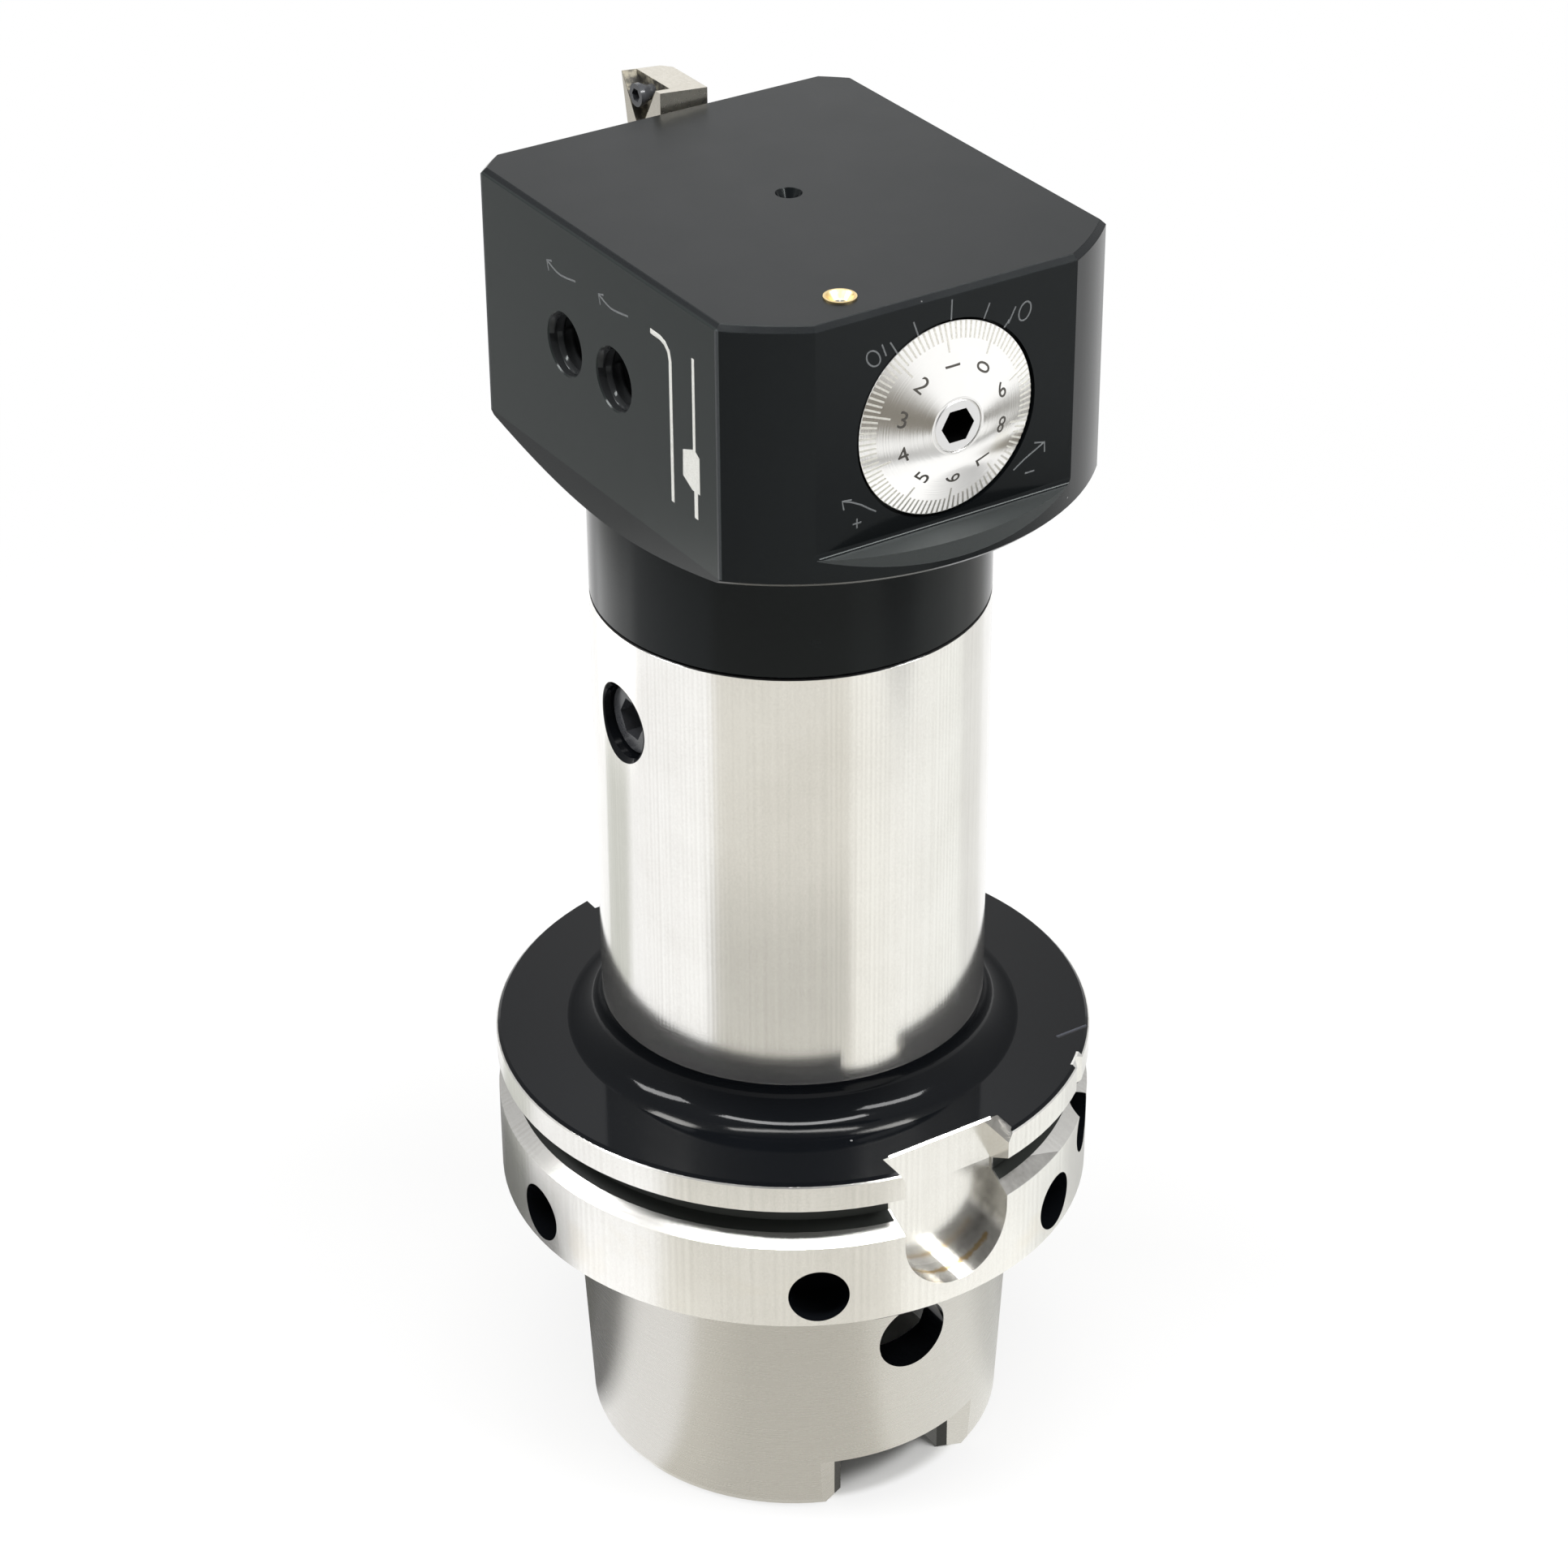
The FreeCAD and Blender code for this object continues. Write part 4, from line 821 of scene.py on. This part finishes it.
def addDialMarks():
    look = dialFace
    digits = []
    for k in range(10):
        digit = addDigit(str(k), look["digitSize"], look["digitThick"])
        angle = look["zeroAngle"] + 36 * k
        for spot in digit.data.vertices:
            inward, onward, up = spot.co
            reach = look["digitR"] - inward * look["digitSquash"]
            lift = up * 0.5 + look["digitLift"]
            spot.co = onDial(reach, angle - math.degrees(onward / look["digitR"]), lift)
        digits.append(digit)
    digits = joinAs("dialDigits", digits)
    digitCut.wear(digits)
    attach(digits, "dial")

    ticks = []
    step = 360 / look["divisions"]
    for k in range(look["divisions"]):
        inner = look["longR"] if k % 10 == 0 else look["shortR"]
        bpy.ops.mesh.primitive_cube_add(size=1)
        tick = bpy.context.object
        for spot in tick.data.vertices:
            reach = inner if spot.co.x < 0 else look["rimR"] - 0.03
            wide = math.degrees(look["tickWidth"] * (look["tickNarrow"] if spot.co.x < 0 else 1.0) / 2 / reach)
            angle = look["zeroAngle"] + step * k + (wide if spot.co.y > 0 else -wide)
            spot.co = onDial(reach, angle, look["tickOver"] if spot.co.z > 0 else -look["tickUnder"])
        ticks.append(tick)
    ticks = joinAs("dialTicks", ticks)
    turnOutward(ticks)
    dialCut.wear(ticks)
    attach(ticks, "dial")


faceMarks = {  # on the flat behind the dial: (y, z) points
    "face": -42.4,
    "width": 0.26,
    "ticks": [  # angle from the top, inner and outer radius
        (-1.7, 15.6, 18.8), (19.8, 15.5, 18.0), (-23.5, 15.6, 18.1), (-39.5, 15.5, 16.9),
    ],
    "leftOne": [(11.50, 171.71), (10.76, 169.72)],
    "leftLong": [(10.08, 171.66), (8.80, 169.54)],
    "rightOne": [(-10.6, 169.35), (-11.85, 171.75)],
    "noughts": [  # y, z, half width, half height, tilt
        (12.95, 169.85, 1.0, 1.45, 38), (-13.5, 170.6, 1.0, 1.5, -22),
    ],
    "plusArrow": [(12.33, 145.2), (13.4, 145.9), (14.9, 147.0), (16.6, 147.9), (18.22, 148.5)],
    "plusHead": [(16.6, 148.3), (18.22, 148.5), (17.95, 147.0)],
    "plus": [[(14.9, 144.2), (16.4, 144.2)], [(15.65, 143.4), (15.65, 145.0)]],
    "minusArrow": [(-12.2, 145.1), (-14.2, 146.4), (-17.74, 148.25)],
    "minusHead": [(-15.9, 148.6), (-17.74, 148.25), (-17.8, 146.6)],
    "minus": [(-14.3, 143.95), (-16.0, 144.0)],
}


def addFaceMarks():
    look = faceMarks
    x, axisZ = look["face"], dialFace["axisZ"]
    lines = []
    for angle, inner, outer in look["ticks"]:
        side, up = math.sin(math.radians(angle)), math.cos(math.radians(angle))
        lines.append([(x, side * inner, axisZ + up * inner), (x, side * outer, axisZ + up * outer)])
    for name in ("leftOne", "leftLong", "rightOne", "plusHead", "minusHead", "minus", "minusArrow", "plusArrow"):
        lines.append([(x, y, z) for y, z in look[name]])
    for line in look["plus"]:
        lines.append([(x, y, z) for y, z in line])
    steps = 16
    for y, z, halfWide, halfHigh, tilt in look["noughts"]:
        ring = []
        turn, side = math.cos(math.radians(tilt)), math.sin(math.radians(tilt))
        for k in range(steps + 1):
            wide, high = halfWide * math.cos(math.tau * k / steps), halfHigh * math.sin(math.tau * k / steps)
            ring.append((x, y + wide * turn + high * side, z + high * turn - wide * side))
        lines.append(ring)
    drawLines("faceScale", lines, look["width"], Vector((1, 0, 0)), greyCut)


oilerSpring = {"x": -35.6, "y": 14.2, "coilR": 1.15, "wireR": 0.2, "turns": 4, "steps": 14}


def addOilerSpring():  # a real coil under the ball, shortened by the ball's stroke
    look = oilerSpring
    low, high = [corner[2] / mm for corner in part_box("oiler_spring")]
    first, last = low + look["wireR"] * 1.1, high - look["wireR"] * 1.1
    steps = look["turns"] * look["steps"]
    coil = []
    for k in range(steps + 1):
        turn = math.tau * k / look["steps"]
        coil.append((look["x"] + look["coilR"] * math.cos(turn), look["y"] + look["coilR"] * math.sin(turn),
                     first + (last - first) * k / steps))
    spring = strokes("coilUnderBall", [coil], look["wireR"] * 2)
    springSteel.wear(spring)
    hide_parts("oiler_spring")
    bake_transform(spring)


def addLockThreads():  # the bare threads in the two holes over the locking screws
    look = lockThreads
    for k, x in enumerate(look["xs"]):
        deselectAll()
        bpy.ops.mesh.primitive_plane_add(size=1)
        liner = bpy.context.object
        liner.name = "lockThread" + str(k + 1)
        bpy.ops.object.mode_set(mode="EDIT")  # the plane's four corners become one tooth's profile
        bpy.ops.mesh.delete(type="ONLY_FACE")
        bpy.ops.object.mode_set(mode="OBJECT")
        pitch = look["pitch"]
        profile = [(look["rootR"], 0.0), (look["tipR"], pitch * 0.42),
                   (look["tipR"], pitch * 0.58), (look["rootR"], pitch)]
        spots = liner.data.vertices
        around = [0, 1, 3, 2]
        for index, (reach, along) in zip(around, profile):
            spots[index].co = (reach * mm, 0, along * mm)
        bpy.ops.object.mode_set(mode="EDIT")
        bpy.ops.mesh.select_all(action="DESELECT")
        bpy.ops.object.mode_set(mode="OBJECT")
        for edge in liner.data.edges:
            edge.select = set(edge.vertices) == {0, 2}
        bpy.ops.object.mode_set(mode="EDIT")
        bpy.ops.mesh.select_mode(type="EDGE")
        bpy.ops.mesh.delete(type="EDGE")
        bpy.ops.object.mode_set(mode="OBJECT")
        wind = liner.modifiers.new("wind", "SCREW")
        wind.axis = "Z"
        wind.steps = wind.render_steps = 40
        wind.iterations = look["turns"]
        wind.screw_offset = pitch * mm
        wind.use_merge_vertices = True
        bpy.ops.object.modifier_apply(modifier="wind")
        bpy.ops.object.mode_set(mode="EDIT")
        bpy.ops.mesh.select_all(action="SELECT")
        bpy.ops.mesh.remove_doubles(threshold=1e-6)
        bpy.ops.object.mode_set(mode="OBJECT")
        place = Matrix.Translation(Vector((x, look["startY"], look["z"])) * mm) @ Matrix.Rotation(-math.pi / 2, 4, "X")
        liner.data.transform(place)
        for face in liner.data.polygons:
            toAxis = Vector((x * mm, 0, look["z"] * mm)) - face.center
            toAxis.y = 0
            if face.normal.dot(toAxis) < 0:
                face.flip()
        headBlack.wear(liner)
        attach(liner, "holder_and_head")


flangeMark = {
    "x": -31.2, "outer": -38.5, "inner": -32.3, "top": 29.0,
    "width": 0.5, "shadeWidth": 0.3, "shadeOff": 0.42,
}


def addFlangeMark():  # engraved line beside the notch, with a painted shade line along its side
    look = flangeMark
    up = Vector((0, 0, 1))
    line = [(look["x"], look["outer"], look["top"]), (look["x"], look["inner"], look["top"])]
    drawLines("flangeLine", [line], look["width"], up, bluishCut)
    drawLines("flangeShade", [[(x - look["shadeOff"], y, z) for x, y, z in line]], look["shadeWidth"], up, shadeLineInk)


addOilerSpring()
print("the oiler's spring is coiled")
addFlangeMark()
addSideMarks()
addDialMarks()
addFaceMarks()
addLockThreads()
print("marks and threads are added")
